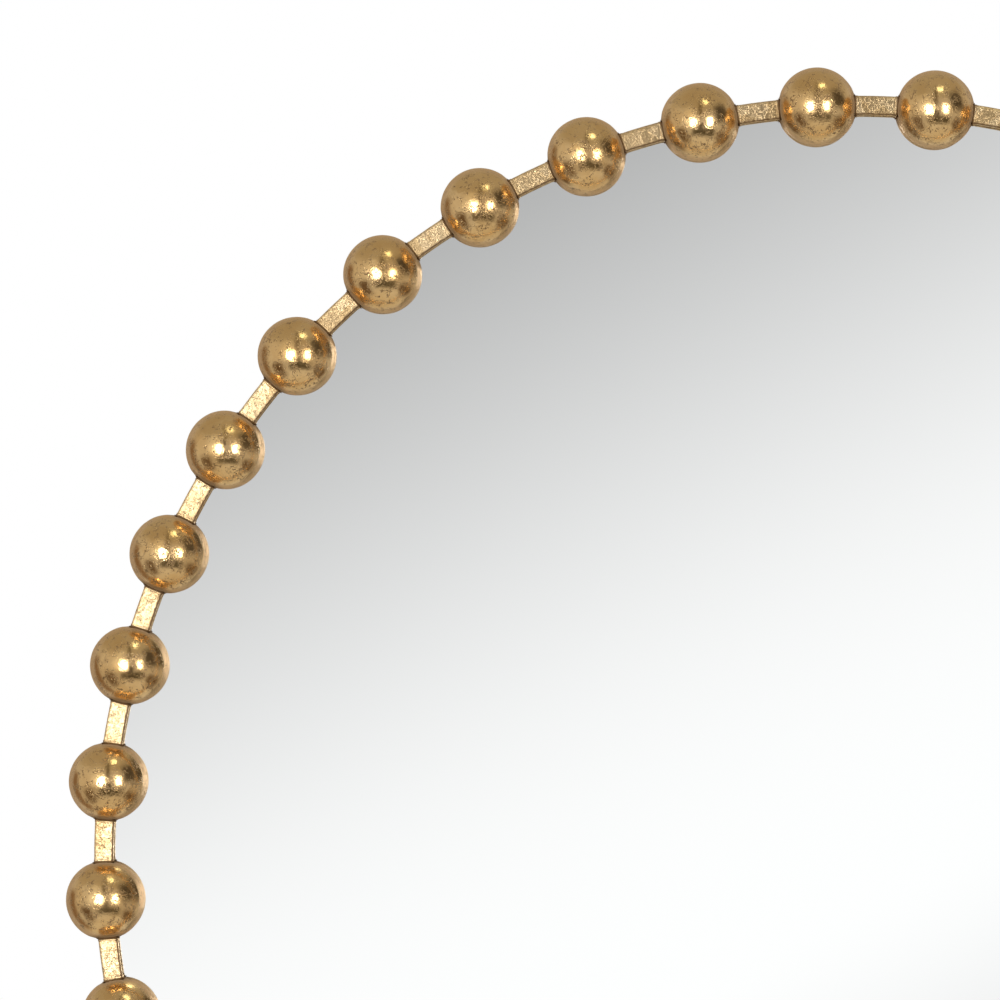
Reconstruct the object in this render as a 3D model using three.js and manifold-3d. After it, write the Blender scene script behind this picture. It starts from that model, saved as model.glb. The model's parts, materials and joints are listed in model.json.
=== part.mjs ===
// Round wall mirror framed by a hoop of gilded steel balls.
// Millimetres. +Z is up, the glass faces -Y, and the origin lies on the wall, straight behind
// the middle of the glass. Angles run anticlockwise from three o'clock, seen from the front.
import * as THREE from "three";
import { mergeVertices } from "three/addons/utils/BufferGeometryUtils.js";
import Module from "manifold-3d";

const wasm = await Module();
wasm.setup();

// ---------------------------------------------------------------- driving dimensions

const FIT_GAP = 0.3; // clearance between two pieces that touch

// Hoop of balls
const BALL_COUNT = 40;
const BALL_DIAMETER = 40;
const BALL_WALL = 1.4; // pressed steel shell
const LINK_LENGTH = 19.6; // bar that shows between two balls
const FIRST_BALL_DEGREES = 84.1; // the ball just right of twelve o'clock
const BAR_WIDTH = 10; // across the face
const BAR_DEPTH = 10; // front to back

// Rear rim: an angle-section hoop that carries the balls in front and the glass inside
const RIM_SHEET = 1.5;
const RIM_HIDE = 1; // how far the rim stays inside the outer edge of the bar
const LIP_HIDE = 2; // how far the lip stays outside the inner edge of the bar
const RIM_STAND = 2.5; // how far the rim reaches behind the board

// Glass and board
const GLASS_THICKNESS = 4;
const GLASS_ARRIS = 0.6; // ground edge
const BOARD_THICKNESS = 6;

// Tabs that keep the board in the rim
const TAB_COUNT = 4;
const TAB_SHEET = 1.2;
const TAB_WIDTH = 14;
const TAB_REACH = 18; // over the back of the board
const TAB_RELIEF = 2; // the tab's inner leg ends this far short of the glass

// Hangers: a folded strap with a swinging D-shaped ring
const HANGER_SPACING = 400;
const HANGER_HEIGHT = 150; // swing axis above the middle of the mirror
const HANGER_TO_WALL = 1.7;
const STRAP_SHEET = 1.2;
const STRAP_WIDTH = 14;
const STRAP_LENGTH = 36; // from the swing axis to the lower end
const STRAP_CORNER = 3;
const D_WIRE = 3;
const D_SIDE_PLAY = 3; // between the strap's edge and the ring's leg
const D_LEG = 6; // straight stretch before the bow

// Screws
const SHANK_RADIUS = 1.75;
const HEAD_RADIUS = 3.5;
const HEAD_HEIGHT = 2;
const TAB_SCREW_EDGE = 5.5; // screw axis to the tab's inner end
const STRAP_SCREW_EDGE = 9; // screw axis to the strap's lower end
const TIP_COVER = 1; // board left in front of a screw's tip

// Bumpers
const BUMPER_RADIUS = 10;
const BUMPER_CHAMFER = 1.5;
const BUMPER_SPACING = 400;
const BUMPER_EDGE = 10; // board left outside a bumper

// Facets
const HOOP_FACETS_PER_BALL = 2;
const DISC_FACETS = 72;
const WIRE_SIDES = 8;
const BOW_STEPS = 14;
const ROLL_FACETS = 12;
const SCREW_SIDES = 10;
const BUMPER_SIDES = 20;
const BALL_OUTSIDE_DETAIL = 2;
const BALL_INSIDE_DETAIL = 1;

// ---------------------------------------------------------------- derived places

const radians = THREE.MathUtils.degToRad;
const ballRadius = BALL_DIAMETER / 2;
const ballStep = (2 * Math.PI) / BALL_COUNT;
const hoopRadius = (BALL_DIAMETER + LINK_LENGTH) / (2 * Math.sin(ballStep / 2));

// From the wall forwards, along -Y
const bendRadius = D_WIRE / 2 + FIT_GAP + STRAP_SHEET; // outside of the strap's rolled end
const boardBack = -(FIT_GAP + 2 * bendRadius + HANGER_TO_WALL);
const boardFront = boardBack - BOARD_THICKNESS;
const glassBack = boardFront - FIT_GAP;
const glassFront = glassBack - GLASS_THICKNESS;
const lipBack = glassFront - FIT_GAP;
const lipFront = lipBack - RIM_SHEET;
const ballY = lipFront - FIT_GAP - ballRadius;

// Outwards from the middle of the mirror
const rimOutside = hoopRadius + BAR_WIDTH / 2 - RIM_HIDE;
const rimInside = rimOutside - RIM_SHEET;
const lipInside = hoopRadius - BAR_WIDTH / 2 + LIP_HIDE;
const glassRadius = rimInside - FIT_GAP;
const flatOf = (radius) => radius * Math.cos(Math.PI / DISC_FACETS); // middle of a facet
const tabOutside = flatOf(rimInside) - FIT_GAP;
const boardRadius = rimInside - 2 * FIT_GAP - TAB_SHEET;

// Hanger
const swingY = boardBack + FIT_GAP + bendRadius;
const strapBack = boardBack + FIT_GAP + STRAP_SHEET;
const dInsideWidth = STRAP_WIDTH + 2 * D_SIDE_PLAY;
const dBowRadius = (dInsideWidth + D_WIRE) / 2; // centre line of the wire
const strapScrewHeight = HANGER_HEIGHT - STRAP_LENGTH + STRAP_SCREW_EDGE;

// Tabs and screws
const tabAngles = Array.from({ length: TAB_COUNT }, (_, i) => ((i + 0.5) * 2 * Math.PI) / TAB_COUNT);
const tabScrewRadius = tabOutside - TAB_REACH + TAB_SCREW_EDGE;
const screwTip = boardFront + TIP_COVER;

// Bumpers, below the middle of the mirror
const bumperReach = boardRadius - BUMPER_EDGE - BUMPER_RADIUS;
const bumperDrop = Math.sqrt(bumperReach ** 2 - (BUMPER_SPACING / 2) ** 2);

const sides = { left: -1, right: 1 };

// ---------------------------------------------------------------- materials

const finish = (color, roughness, metalness) => () =>
  new THREE.MeshStandardMaterial({ color, roughness, metalness });

const giltLeaf = finish(0xc39a55, 0.28, 1);
const giltRim = finish(0xb08a4a, 0.4, 1);
const silveredGlass = finish(0xdfe3e6, 0.03, 1);
const fibreBoard = finish(0x6f5237, 0.85, 0);
const zincSteel = finish(0xb4b7b9, 0.35, 1);
const blackRubber = finish(0x1d1d1f, 0.9, 0);

// ---------------------------------------------------------------- helpers

// A closed geometry as a solid that can be cut and joined.
function solidOf(geometry) {
  const bare = geometry.clone();
  bare.deleteAttribute("normal");
  bare.deleteAttribute("uv");
  const merged = mergeVertices(bare, 1e-4);
  return new wasm.Manifold(
    new wasm.Mesh({
      numProp: 3,
      vertProperties: merged.attributes.position.array,
      triVerts: new Uint32Array(merged.index.array),
    }),
  );
}

function geometryOf(solid) {
  const { vertProperties, triVerts } = solid.getMesh();
  const geometry = new THREE.BufferGeometry();
  geometry.setAttribute("position", new THREE.BufferAttribute(vertProperties, 3));
  geometry.setIndex(new THREE.BufferAttribute(triVerts, 1));
  return geometry;
}

// Turns [radius, y] corners about the Y axis. A corner lies half a facet off three o'clock, so
// that a facet's middle faces it.
function turned(corners, facets) {
  const points = corners.map(([radius, y]) => new THREE.Vector2(radius, y));
  return new THREE.LatheGeometry(points, facets, Math.PI / facets);
}

// A flat outline in the Y-Z plane, given a thickness along X and centred on it.
function extrudedAlongX(shape, width) {
  const geometry = new THREE.ExtrudeGeometry(shape, {
    depth: width,
    bevelEnabled: false,
    curveSegments: ROLL_FACETS / 2,
  });
  const toSide = new THREE.Matrix4().makeBasis(
    new THREE.Vector3(0, 1, 0),
    new THREE.Vector3(0, 0, 1),
    new THREE.Vector3(1, 0, 0),
  );
  return geometry.translate(0, 0, -width / 2).applyMatrix4(toSide);
}

function named(name, geometry, material) {
  const mesh = new THREE.Mesh(geometry, material());
  mesh.name = name;
  return mesh;
}

// ---------------------------------------------------------------- hoop and balls

// The square bar, rolled to a hoop. The bore through each ball is the same hoop, grown.
function barHoop(grow) {
  const inside = hoopRadius - BAR_WIDTH / 2 - grow;
  const outside = hoopRadius + BAR_WIDTH / 2 + grow;
  const front = ballY - BAR_DEPTH / 2 - grow;
  const back = ballY + BAR_DEPTH / 2 + grow;
  const corners = [
    [inside, front],
    [outside, front],
    [outside, back],
    [inside, back],
    [inside, front],
  ];
  return turned(corners, BALL_COUNT * HOOP_FACETS_PER_BALL);
}

// A faceted ball with one corner turned to the back, where it meets the rim's lip.
function facetedBall(radius, detail) {
  const golden = (1 + Math.sqrt(5)) / 2;
  return new THREE.IcosahedronGeometry(radius, detail)
    .rotateZ(-Math.atan2(1, golden))
    .translate(hoopRadius, ballY, 0);
}

// A hollow ball at three o'clock with a square way through it for the bar.
function boredBall() {
  const outside = solidOf(facetedBall(ballRadius, BALL_OUTSIDE_DETAIL));
  const inside = solidOf(facetedBall(ballRadius - BALL_WALL, BALL_INSIDE_DETAIL));
  const bore = solidOf(barHoop(FIT_GAP));
  return geometryOf(outside.subtract(inside).subtract(bore));
}

function hoopOfBalls() {
  const hoop = new THREE.Group();
  hoop.rotation.y = -radians(FIRST_BALL_DEGREES);
  hoop.add(named("bead_ring", barHoop(0), giltLeaf));
  const ball = boredBall();
  for (let i = 0; i < BALL_COUNT; i++) {
    const bead = named("bead_" + String(i + 1).padStart(2, "0"), ball, giltLeaf);
    bead.rotation.y = -i * ballStep;
    hoop.add(bead);
  }
  return hoop;
}

// ---------------------------------------------------------------- rim, glass and board

function rearRim() {
  const rimBack = boardBack + RIM_STAND;
  const corners = [
    [lipInside, lipFront],
    [rimOutside, lipFront],
    [rimOutside, rimBack],
    [rimInside, rimBack],
    [rimInside, lipBack],
    [lipInside, lipBack],
    [lipInside, lipFront],
  ];
  return named("rear_rim", turned(corners, DISC_FACETS), giltRim);
}

function mirrorGlass() {
  const corners = [
    [0, glassFront],
    [glassRadius - GLASS_ARRIS, glassFront],
    [glassRadius, glassFront + GLASS_ARRIS],
    [glassRadius, glassBack - GLASS_ARRIS],
    [glassRadius - GLASS_ARRIS, glassBack],
    [0, glassBack],
  ];
  return named("mirror_glass", turned(corners, DISC_FACETS), silveredGlass);
}

// The fibre board, with a clear hole for each screw.
function backingBoard() {
  const corners = [
    [0, boardFront],
    [boardRadius, boardFront],
    [boardRadius, boardBack],
    [0, boardBack],
  ];
  let board = solidOf(turned(corners, DISC_FACETS));
  for (const angle of tabAngles) {
    const hole = panScrew(FIT_GAP).translate(tabScrewRadius, 0, 0).rotateY(-angle);
    board = board.subtract(solidOf(hole));
  }
  for (const side of Object.values(sides)) {
    const x = (side * HANGER_SPACING) / 2;
    board = board.subtract(solidOf(flatScrew(FIT_GAP).translate(x, 0, strapScrewHeight)));
  }
  return named("backing_board", geometryOf(board), fibreBoard);
}

// ---------------------------------------------------------------- screws

// Both screws stand on the Y axis, with the tip towards the glass. Grown, they make the hole.
function panScrew(grow) {
  const headFront = boardBack + FIT_GAP + TAB_SHEET + FIT_GAP;
  const headBack = headFront + HEAD_HEIGHT;
  const tip = screwTip - grow;
  const corners = [
    [0, tip],
    [SHANK_RADIUS + grow, tip + SHANK_RADIUS],
    [SHANK_RADIUS + grow, headFront - grow],
    [HEAD_RADIUS + grow, headFront - grow],
    [HEAD_RADIUS + grow, headBack - HEAD_HEIGHT / 2],
    [HEAD_RADIUS / 2, headBack],
    [0, headBack],
  ];
  return turned(corners, SCREW_SIDES);
}

function flatScrew(grow) {
  const coneFront = strapBack - (HEAD_RADIUS - SHANK_RADIUS);
  const tip = screwTip - grow;
  const corners = [
    [0, tip],
    [SHANK_RADIUS + grow, tip + SHANK_RADIUS],
    [SHANK_RADIUS + grow, coneFront],
    [HEAD_RADIUS + 2 * grow, strapBack + grow],
    [0, strapBack + grow],
  ];
  return turned(corners, SCREW_SIDES);
}

// ---------------------------------------------------------------- tabs

// An angle of sheet steel at three o'clock: one leg against the rim, one over the board.
function tabAtThreeOClock() {
  const legFront = boardFront + TAB_RELIEF;
  const footFront = boardBack + FIT_GAP;
  const footBack = footFront + TAB_SHEET;
  const outline = new THREE.Shape();
  outline.moveTo(tabOutside, legFront);
  outline.lineTo(tabOutside, footBack);
  outline.lineTo(tabOutside - TAB_REACH, footBack);
  outline.lineTo(tabOutside - TAB_REACH, footFront);
  outline.lineTo(tabOutside - TAB_SHEET, footFront);
  outline.lineTo(tabOutside - TAB_SHEET, legFront);
  outline.closePath();
  const angle = new THREE.ExtrudeGeometry(outline, { depth: TAB_WIDTH, bevelEnabled: false });
  angle.translate(0, 0, -TAB_WIDTH / 2);
  const shank = turned(
    [
      [0, legFront],
      [SHANK_RADIUS + FIT_GAP, legFront],
      [SHANK_RADIUS + FIT_GAP, footBack + FIT_GAP],
      [0, footBack + FIT_GAP],
    ],
    SCREW_SIDES,
  );
  shank.translate(tabScrewRadius, 0, 0);
  return geometryOf(solidOf(angle).subtract(solidOf(shank)));
}

function boardTabs() {
  const tabs = new THREE.Group();
  const tab = tabAtThreeOClock();
  const screw = panScrew(0).translate(tabScrewRadius, 0, 0);
  tabAngles.forEach((angle, i) => {
    const piece = named("board_tab_" + (i + 1), tab, zincSteel);
    piece.rotation.y = -angle;
    tabs.add(piece);
    const fixing = named("tab_screw_" + (i + 1), screw, zincSteel);
    fixing.rotation.y = -angle;
    tabs.add(fixing);
  });
  return tabs;
}

// ---------------------------------------------------------------- hangers

// A strip of sheet, rolled round the ring's straight side at the top. Its own frame has the
// swing axis on X.
function hangerStrap() {
  const front = -bendRadius;
  const back = front + STRAP_SHEET;
  const joinAngle = -Math.acos(back / bendRadius);
  const rollInside = (D_WIRE / 2 + FIT_GAP) / Math.cos(Math.PI / ROLL_FACETS); // its flats clear the wire
  const outline = new THREE.Shape();
  outline.moveTo(front, -STRAP_LENGTH);
  outline.lineTo(back, -STRAP_LENGTH);
  outline.absarc(0, 0, bendRadius, joinAngle, Math.PI, false);
  outline.lineTo(front, -STRAP_LENGTH);
  const roll = new THREE.Path();
  roll.absarc(0, 0, rollInside, 0, 2 * Math.PI, true);
  outline.holes.push(roll);
  let strap = solidOf(extrudedAlongX(outline, STRAP_WIDTH));
  const hole = flatScrew(FIT_GAP).translate(0, -swingY, strapScrewHeight - HANGER_HEIGHT);
  strap = strap.subtract(solidOf(hole));
  return geometryOf(strap.intersect(solidOf(strapPlan())));
}

// The strap seen from the back, with its lower corners cut off.
function strapPlan() {
  const half = STRAP_WIDTH / 2;
  const top = 2 * bendRadius;
  const plan = new THREE.Shape();
  plan.moveTo(-half + STRAP_CORNER, -STRAP_LENGTH);
  plan.lineTo(half - STRAP_CORNER, -STRAP_LENGTH);
  plan.lineTo(half, -STRAP_LENGTH + STRAP_CORNER);
  plan.lineTo(half, top);
  plan.lineTo(-half, top);
  plan.lineTo(-half, -STRAP_LENGTH + STRAP_CORNER);
  plan.closePath();
  const depth = 4 * bendRadius;
  return new THREE.ExtrudeGeometry(plan, { depth, bevelEnabled: false })
    .translate(0, 0, -depth / 2)
    .rotateX(Math.PI / 2);
}

// The ring hangs straight down from its straight side, which lies on X.
function dRing() {
  const bow = new THREE.CurvePath();
  const leftTop = new THREE.Vector3(-dBowRadius, 0, 0);
  const leftLow = new THREE.Vector3(-dBowRadius, 0, -D_LEG);
  const rightTop = new THREE.Vector3(dBowRadius, 0, 0);
  const rightLow = new THREE.Vector3(dBowRadius, 0, -D_LEG);
  bow.add(new THREE.LineCurve3(leftTop, leftLow));
  bow.add(new BowCurve(dBowRadius, -D_LEG));
  bow.add(new THREE.LineCurve3(rightLow, rightTop));
  const section = new THREE.Shape();
  for (let i = 0; i < WIRE_SIDES; i++) {
    const turn = ((i + 0.5) * 2 * Math.PI) / WIRE_SIDES;
    const x = (D_WIRE / 2) * Math.cos(turn);
    const y = (D_WIRE / 2) * Math.sin(turn);
    if (i === 0) section.moveTo(x, y);
    else section.lineTo(x, y);
  }
  section.closePath();
  const legs = new THREE.ExtrudeGeometry(section, { steps: BOW_STEPS, extrudePath: bow });
  const barLength = dInsideWidth + 2 * D_WIRE;
  const bar = new THREE.CylinderGeometry(D_WIRE / 2, D_WIRE / 2, barLength, WIRE_SIDES)
    .rotateY(Math.PI / WIRE_SIDES)
    .rotateZ(Math.PI / 2);
  return geometryOf(solidOf(legs).add(solidOf(bar)));
}

// The half circle at the foot of the ring, from the left leg to the right one.
class BowCurve extends THREE.Curve {
  constructor(radius, height) {
    super();
    this.radius = radius;
    this.height = height;
  }

  getPoint(t, target = new THREE.Vector3()) {
    const turn = Math.PI * (1 + t);
    return target.set(this.radius * Math.cos(turn), 0, this.height + this.radius * Math.sin(turn));
  }
}

function hangers() {
  const group = new THREE.Group();
  const strap = hangerStrap();
  const ring = dRing();
  const screw = flatScrew(0);
  for (const [side, sign] of Object.entries(sides)) {
    const x = (sign * HANGER_SPACING) / 2;
    const strapPiece = named("hanger_strap_" + side, strap, zincSteel);
    strapPiece.position.set(x, swingY, HANGER_HEIGHT);
    const ringPiece = named("d_ring_" + side, ring, zincSteel);
    ringPiece.position.set(x, swingY, HANGER_HEIGHT);
    const screwPiece = named("strap_screw_" + side, screw, zincSteel);
    screwPiece.position.set(x, 0, strapScrewHeight);
    group.add(strapPiece, ringPiece, screwPiece);
  }
  return group;
}

// ---------------------------------------------------------------- bumpers

function bumpers() {
  const group = new THREE.Group();
  const corners = [
    [0, boardBack + FIT_GAP],
    [BUMPER_RADIUS, boardBack + FIT_GAP],
    [BUMPER_RADIUS, -BUMPER_CHAMFER],
    [BUMPER_RADIUS - BUMPER_CHAMFER, 0],
    [0, 0],
  ];
  const pad = turned(corners, BUMPER_SIDES);
  for (const [side, sign] of Object.entries(sides)) {
    const bumper = named("bumper_" + side, pad, blackRubber);
    bumper.position.set((sign * BUMPER_SPACING) / 2, 0, -bumperDrop);
    group.add(bumper);
  }
  return group;
}

// ---------------------------------------------------------------- the whole mirror

const mirror = new THREE.Group();
mirror.add(hoopOfBalls(), rearRim(), mirrorGlass(), backingBoard(), boardTabs(), hangers(), bumpers());

export default mirror;
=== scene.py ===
# %% [markdown]
# # A round wall mirror in a hoop of gilded balls
#
# Forty hollow steel balls are strung on a square bar that is rolled to a hoop, and gilded with it.
# Behind them a rim of angle section holds the glass and a fibre board, and two D-rings hang it up.
# The script dresses the measured solids: each piece is modelled again, finer and in the same place,
# and gets the finish that it has on the real mirror. Metres, +Z up, the glass faces -Y.

import json
import math

import bmesh
import bpy
from mathutils import Matrix, Vector, noise


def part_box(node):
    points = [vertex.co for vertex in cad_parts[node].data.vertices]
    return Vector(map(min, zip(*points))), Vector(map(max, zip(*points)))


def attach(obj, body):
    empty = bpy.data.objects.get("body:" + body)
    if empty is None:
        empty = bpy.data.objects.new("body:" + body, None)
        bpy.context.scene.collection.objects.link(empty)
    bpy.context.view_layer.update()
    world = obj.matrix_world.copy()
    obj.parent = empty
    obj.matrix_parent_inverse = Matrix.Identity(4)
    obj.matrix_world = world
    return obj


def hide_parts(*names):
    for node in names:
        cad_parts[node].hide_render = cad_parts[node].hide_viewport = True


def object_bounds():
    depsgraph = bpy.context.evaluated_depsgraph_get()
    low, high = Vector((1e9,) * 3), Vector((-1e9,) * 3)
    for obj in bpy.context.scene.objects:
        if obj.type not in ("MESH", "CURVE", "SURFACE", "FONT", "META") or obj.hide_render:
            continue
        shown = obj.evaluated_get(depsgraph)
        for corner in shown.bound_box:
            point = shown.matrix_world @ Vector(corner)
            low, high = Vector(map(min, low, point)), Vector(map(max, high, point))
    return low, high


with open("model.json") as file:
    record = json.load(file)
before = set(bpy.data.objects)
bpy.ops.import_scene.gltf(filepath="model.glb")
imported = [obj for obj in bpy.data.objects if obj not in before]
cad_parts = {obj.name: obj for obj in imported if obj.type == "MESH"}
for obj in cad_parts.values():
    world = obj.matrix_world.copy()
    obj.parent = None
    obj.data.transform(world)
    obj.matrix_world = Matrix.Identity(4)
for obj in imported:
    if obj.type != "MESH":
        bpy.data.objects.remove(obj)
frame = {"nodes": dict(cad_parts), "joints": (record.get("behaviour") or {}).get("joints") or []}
solid_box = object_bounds()
print("solids reach from", solid_box[0], "to", solid_box[1])

# %% [markdown]
# ## Sizes
#
# What a piece shares with the frame is read from the frame, so that the two can't drift apart. A
# ball's middle gives the hoop's radius, and its angle gives the place of the other thirty-nine.
# Sizes that a box can't tell, such as a wall or a bend, are written where they are first used.

# %% Sizes of the hoop, read from the frame
MM = 0.001


def middle(node):
    low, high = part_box(node)
    return (low + high) / 2


ball_nodes = sorted(name for name in frame["nodes"] if name.startswith("bead_") and name != "bead_ring")
ball_middle = middle(ball_nodes[0])
ball_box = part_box(ball_nodes[0])
bar_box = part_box("bead_ring")
ball_radius = (ball_box[1].y - ball_box[0].y) / 2
bar_width = bar_box[1].y - bar_box[0].y
hoop_radius = math.hypot(ball_middle.x, ball_middle.z)
hoop_y = ball_middle.y
first_angle = math.atan2(ball_middle.z, ball_middle.x)
ball_step = 2 * math.pi / len(ball_nodes)
print(f"{len(ball_nodes)} balls of {ball_radius / MM:.1f} mm radius on a hoop of {hoop_radius / MM:.1f} mm")

# %% [markdown]
# ## Camera
#
# The picture shows the upper left quarter of the mirror, square on and from far away: the balls on
# the far side of the frame are as round as the near ones. So the camera stands straight in front of
# the middle of the picture, with a very long lens. Where the hoop's middle and radius lie in the
# picture, in its pixels, gives the camera's place and the lens.

# %% Camera
PICTURE_SIDE = 1000
HOOP_MIDDLE_IN_PICTURE = (857.8, 859.4)
HOOP_RADIUS_IN_PICTURE = 753.8
CAMERA_DISTANCE = 12.0
SENSOR_WIDTH = 36.0

metres_per_pixel = hoop_radius / HOOP_RADIUS_IN_PICTURE
picture_width = PICTURE_SIDE * metres_per_pixel
camera_x = (PICTURE_SIDE / 2 - HOOP_MIDDLE_IN_PICTURE[0]) * metres_per_pixel
camera_z = (HOOP_MIDDLE_IN_PICTURE[1] - PICTURE_SIDE / 2) * metres_per_pixel

camera_data = bpy.data.cameras.new("camera")
camera_data.sensor_width = SENSOR_WIDTH
camera_data.lens = SENSOR_WIDTH * CAMERA_DISTANCE / picture_width
camera_data.clip_end = 100
camera = bpy.data.objects.new("camera", camera_data)
camera.location = (camera_x, hoop_y - CAMERA_DISTANCE, camera_z)
camera.rotation_euler = (math.radians(90), 0, 0)
bpy.context.scene.collection.objects.link(camera)
bpy.context.scene.camera = camera
print(f"the picture is {picture_width:.3f} m wide, the lens {camera_data.lens:.0f} mm")

# %% [markdown]
# ## Helpers for shaders
#
# A material is a tree of nodes. A few small helpers keep the trees readable: they add a node with
# its settings and wires, do a sum, bring a value into a range, mix two colours, and make noise that
# is soft or drawn out to streaks. A wire is either a number or another node's output.

# %% Add nodes
def place(tree, kind, wires=None, **settings):
    """Adds a node; wires gives each input a value or another node's output."""
    node = tree.nodes.new(kind)
    for name, value in settings.items():
        setattr(node, name, value)
    for name, value in (wires or {}).items():
        if isinstance(value, bpy.types.NodeSocket):
            tree.links.new(value, node.inputs[name])
        else:
            node.inputs[name].default_value = value
    return node


def sum_of(tree, operation, *values):
    wires = dict(enumerate(values))
    return place(tree, "ShaderNodeMath", wires, operation=operation).outputs[0]


def ramp(tree, value, start, end, low=0.0, high=1.0):
    """Brings a value smoothly from start..end to low..high, and keeps it there outside."""
    wires = {"Value": value, "From Min": start, "From Max": end, "To Min": low, "To Max": high}
    return place(tree, "ShaderNodeMapRange", wires, interpolation_type="SMOOTHSTEP").outputs["Result"]


def blended(tree, share, first, second):
    """A colour between two colours."""
    node = place(tree, "ShaderNodeMix", data_type="RGBA")
    for socket, value in ((node.inputs[0], share), (node.inputs[6], first), (node.inputs[7], second)):
        if isinstance(value, bpy.types.NodeSocket):
            tree.links.new(value, socket)
        else:
            socket.default_value = (*value, 1.0) if hasattr(value, "__len__") else value
    return node.outputs[2]


def cloud(tree, position, size, detail=2.0, roughness=0.5):
    """Soft noise whose lumps are about size across, from 0 to 1."""
    wires = {"Vector": position, "Scale": sum_of(tree, "DIVIDE", 1.0, size), "Detail": detail}
    wires["Roughness"] = roughness
    return place(tree, "ShaderNodeTexNoise", wires).outputs["Fac"]


def streaks(tree, position, turn, size, length, detail=2.0, roughness=0.5):
    """Noise drawn out in a direction across the mirror, turned from upright by some degrees."""
    wires = {"Vector": position, "Rotation": (0, math.radians(turn), 0), "Scale": (1, 1, length)}
    turned = place(tree, "ShaderNodeMapping", wires, vector_type="TEXTURE").outputs[0]
    return cloud(tree, turned, size, detail, roughness)


# %% [markdown]
# ## Helpers for groups and materials
#
# An effect that several finishes share is a node group: it is built once, and each material places
# it with values of its own. A group gives masks and heights only. The shader stays in the material.

# %% Start a group or a material
def new_group(name, inputs, outputs):
    """A node group with named inputs and outputs; returns it and the two ends."""
    group = bpy.data.node_groups.new(name, "ShaderNodeTree")
    for label, value in inputs.items():
        kind = "NodeSocketVector" if value is None else "NodeSocketFloat"
        socket = group.interface.new_socket(label, in_out="INPUT", socket_type=kind)
        if value is not None:
            socket.default_value = value
    for label in outputs:
        group.interface.new_socket(label, in_out="OUTPUT", socket_type="NodeSocketFloat")
    return group, group.nodes.new("NodeGroupInput").outputs, group.nodes.new("NodeGroupOutput")


def use_group(tree, group, **wires):
    """Places a group; an input named Leaf Size is given as Leaf_Size."""
    node = place(tree, "ShaderNodeGroup", node_tree=group)
    for name, value in wires.items():
        socket = node.inputs[name.replace("_", " ")]
        if isinstance(value, bpy.types.NodeSocket):
            tree.links.new(value, socket)
        else:
            socket.default_value = value
    return node.outputs


def new_material(name, **shader_values):
    """A material with its Principled shader; returns it, its tree, the shader and the position."""
    material = bpy.data.materials.new(name)
    material.use_nodes = True
    tree = material.node_tree
    shader = tree.nodes["Principled BSDF"]
    for label, value in shader_values.items():
        shader.inputs[label.replace("_", " ")].default_value = value
    position = place(tree, "ShaderNodeTexCoord").outputs["Object"]
    return material, tree, shader, position


def lay_on(tree, shader, colour, rough):
    tree.links.new(colour, shader.inputs["Base Color"])
    tree.links.new(rough, shader.inputs["Roughness"])


def bump(tree, shader, height, distance):
    wires = {"Height": height, "Distance": distance}
    tree.links.new(place(tree, "ShaderNodeBump", wires).outputs["Normal"], shader.inputs["Normal"])


# %% [markdown]
# ## Where a point lies on the hoop
#
# Where a ball meets the bar the gold turns brown, which on the ball is partly painted shade, and along the
# bar's arrises lies a band of painted shade. The bar's grain runs along the hoop too, but the shader takes
# that from a tangent. The brown and the band need a point's place on the hoop: how far it is along the bar
# from the nearest ball, how far out from the bar's middle line, and how deep.

# %% Group: place on the hoop
def make_hoop_place():
    group, given, end = new_group("place_on_hoop", {"Position": None}, ["Along", "Across", "Depth"])
    split = place(group, "ShaderNodeSeparateXYZ", {"Vector": given["Position"]}).outputs
    angle = sum_of(group, "ARCTAN2", split["Z"], split["X"])
    steps = sum_of(group, "DIVIDE", sum_of(group, "SUBTRACT", angle, first_angle), ball_step)
    past_ball = sum_of(group, "SUBTRACT", steps, sum_of(group, "ROUND", steps))
    along = sum_of(group, "MULTIPLY", past_ball, ball_step * hoop_radius)
    squares = sum_of(group, "MULTIPLY", split["X"], split["X"])
    squares = sum_of(group, "MULTIPLY_ADD", split["Z"], split["Z"], squares)
    across = sum_of(group, "SUBTRACT", sum_of(group, "SQRT", squares), hoop_radius)
    group.links.new(along, end.inputs["Along"])
    group.links.new(across, end.inputs["Across"])
    group.links.new(sum_of(group, "SUBTRACT", split["Y"], hoop_y), end.inputs["Depth"])
    return group


hoop_place = make_hoop_place()

# %% [markdown]
# ## Gold leaf
#
# Leaf is laid in pieces a finger wide, each a little lighter or darker. Their laps show as fine
# ridges, the leaf wrinkles as it dries, and where it tears the brown ground shows as small pits and
# cracks. Voronoi cells make the pieces and their laps, and noise makes the wrinkles and the pits.

# %% Group: gold leaf
LAP_WIDTH = 0.05
CRACK_WIDTH = 0.045


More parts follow.
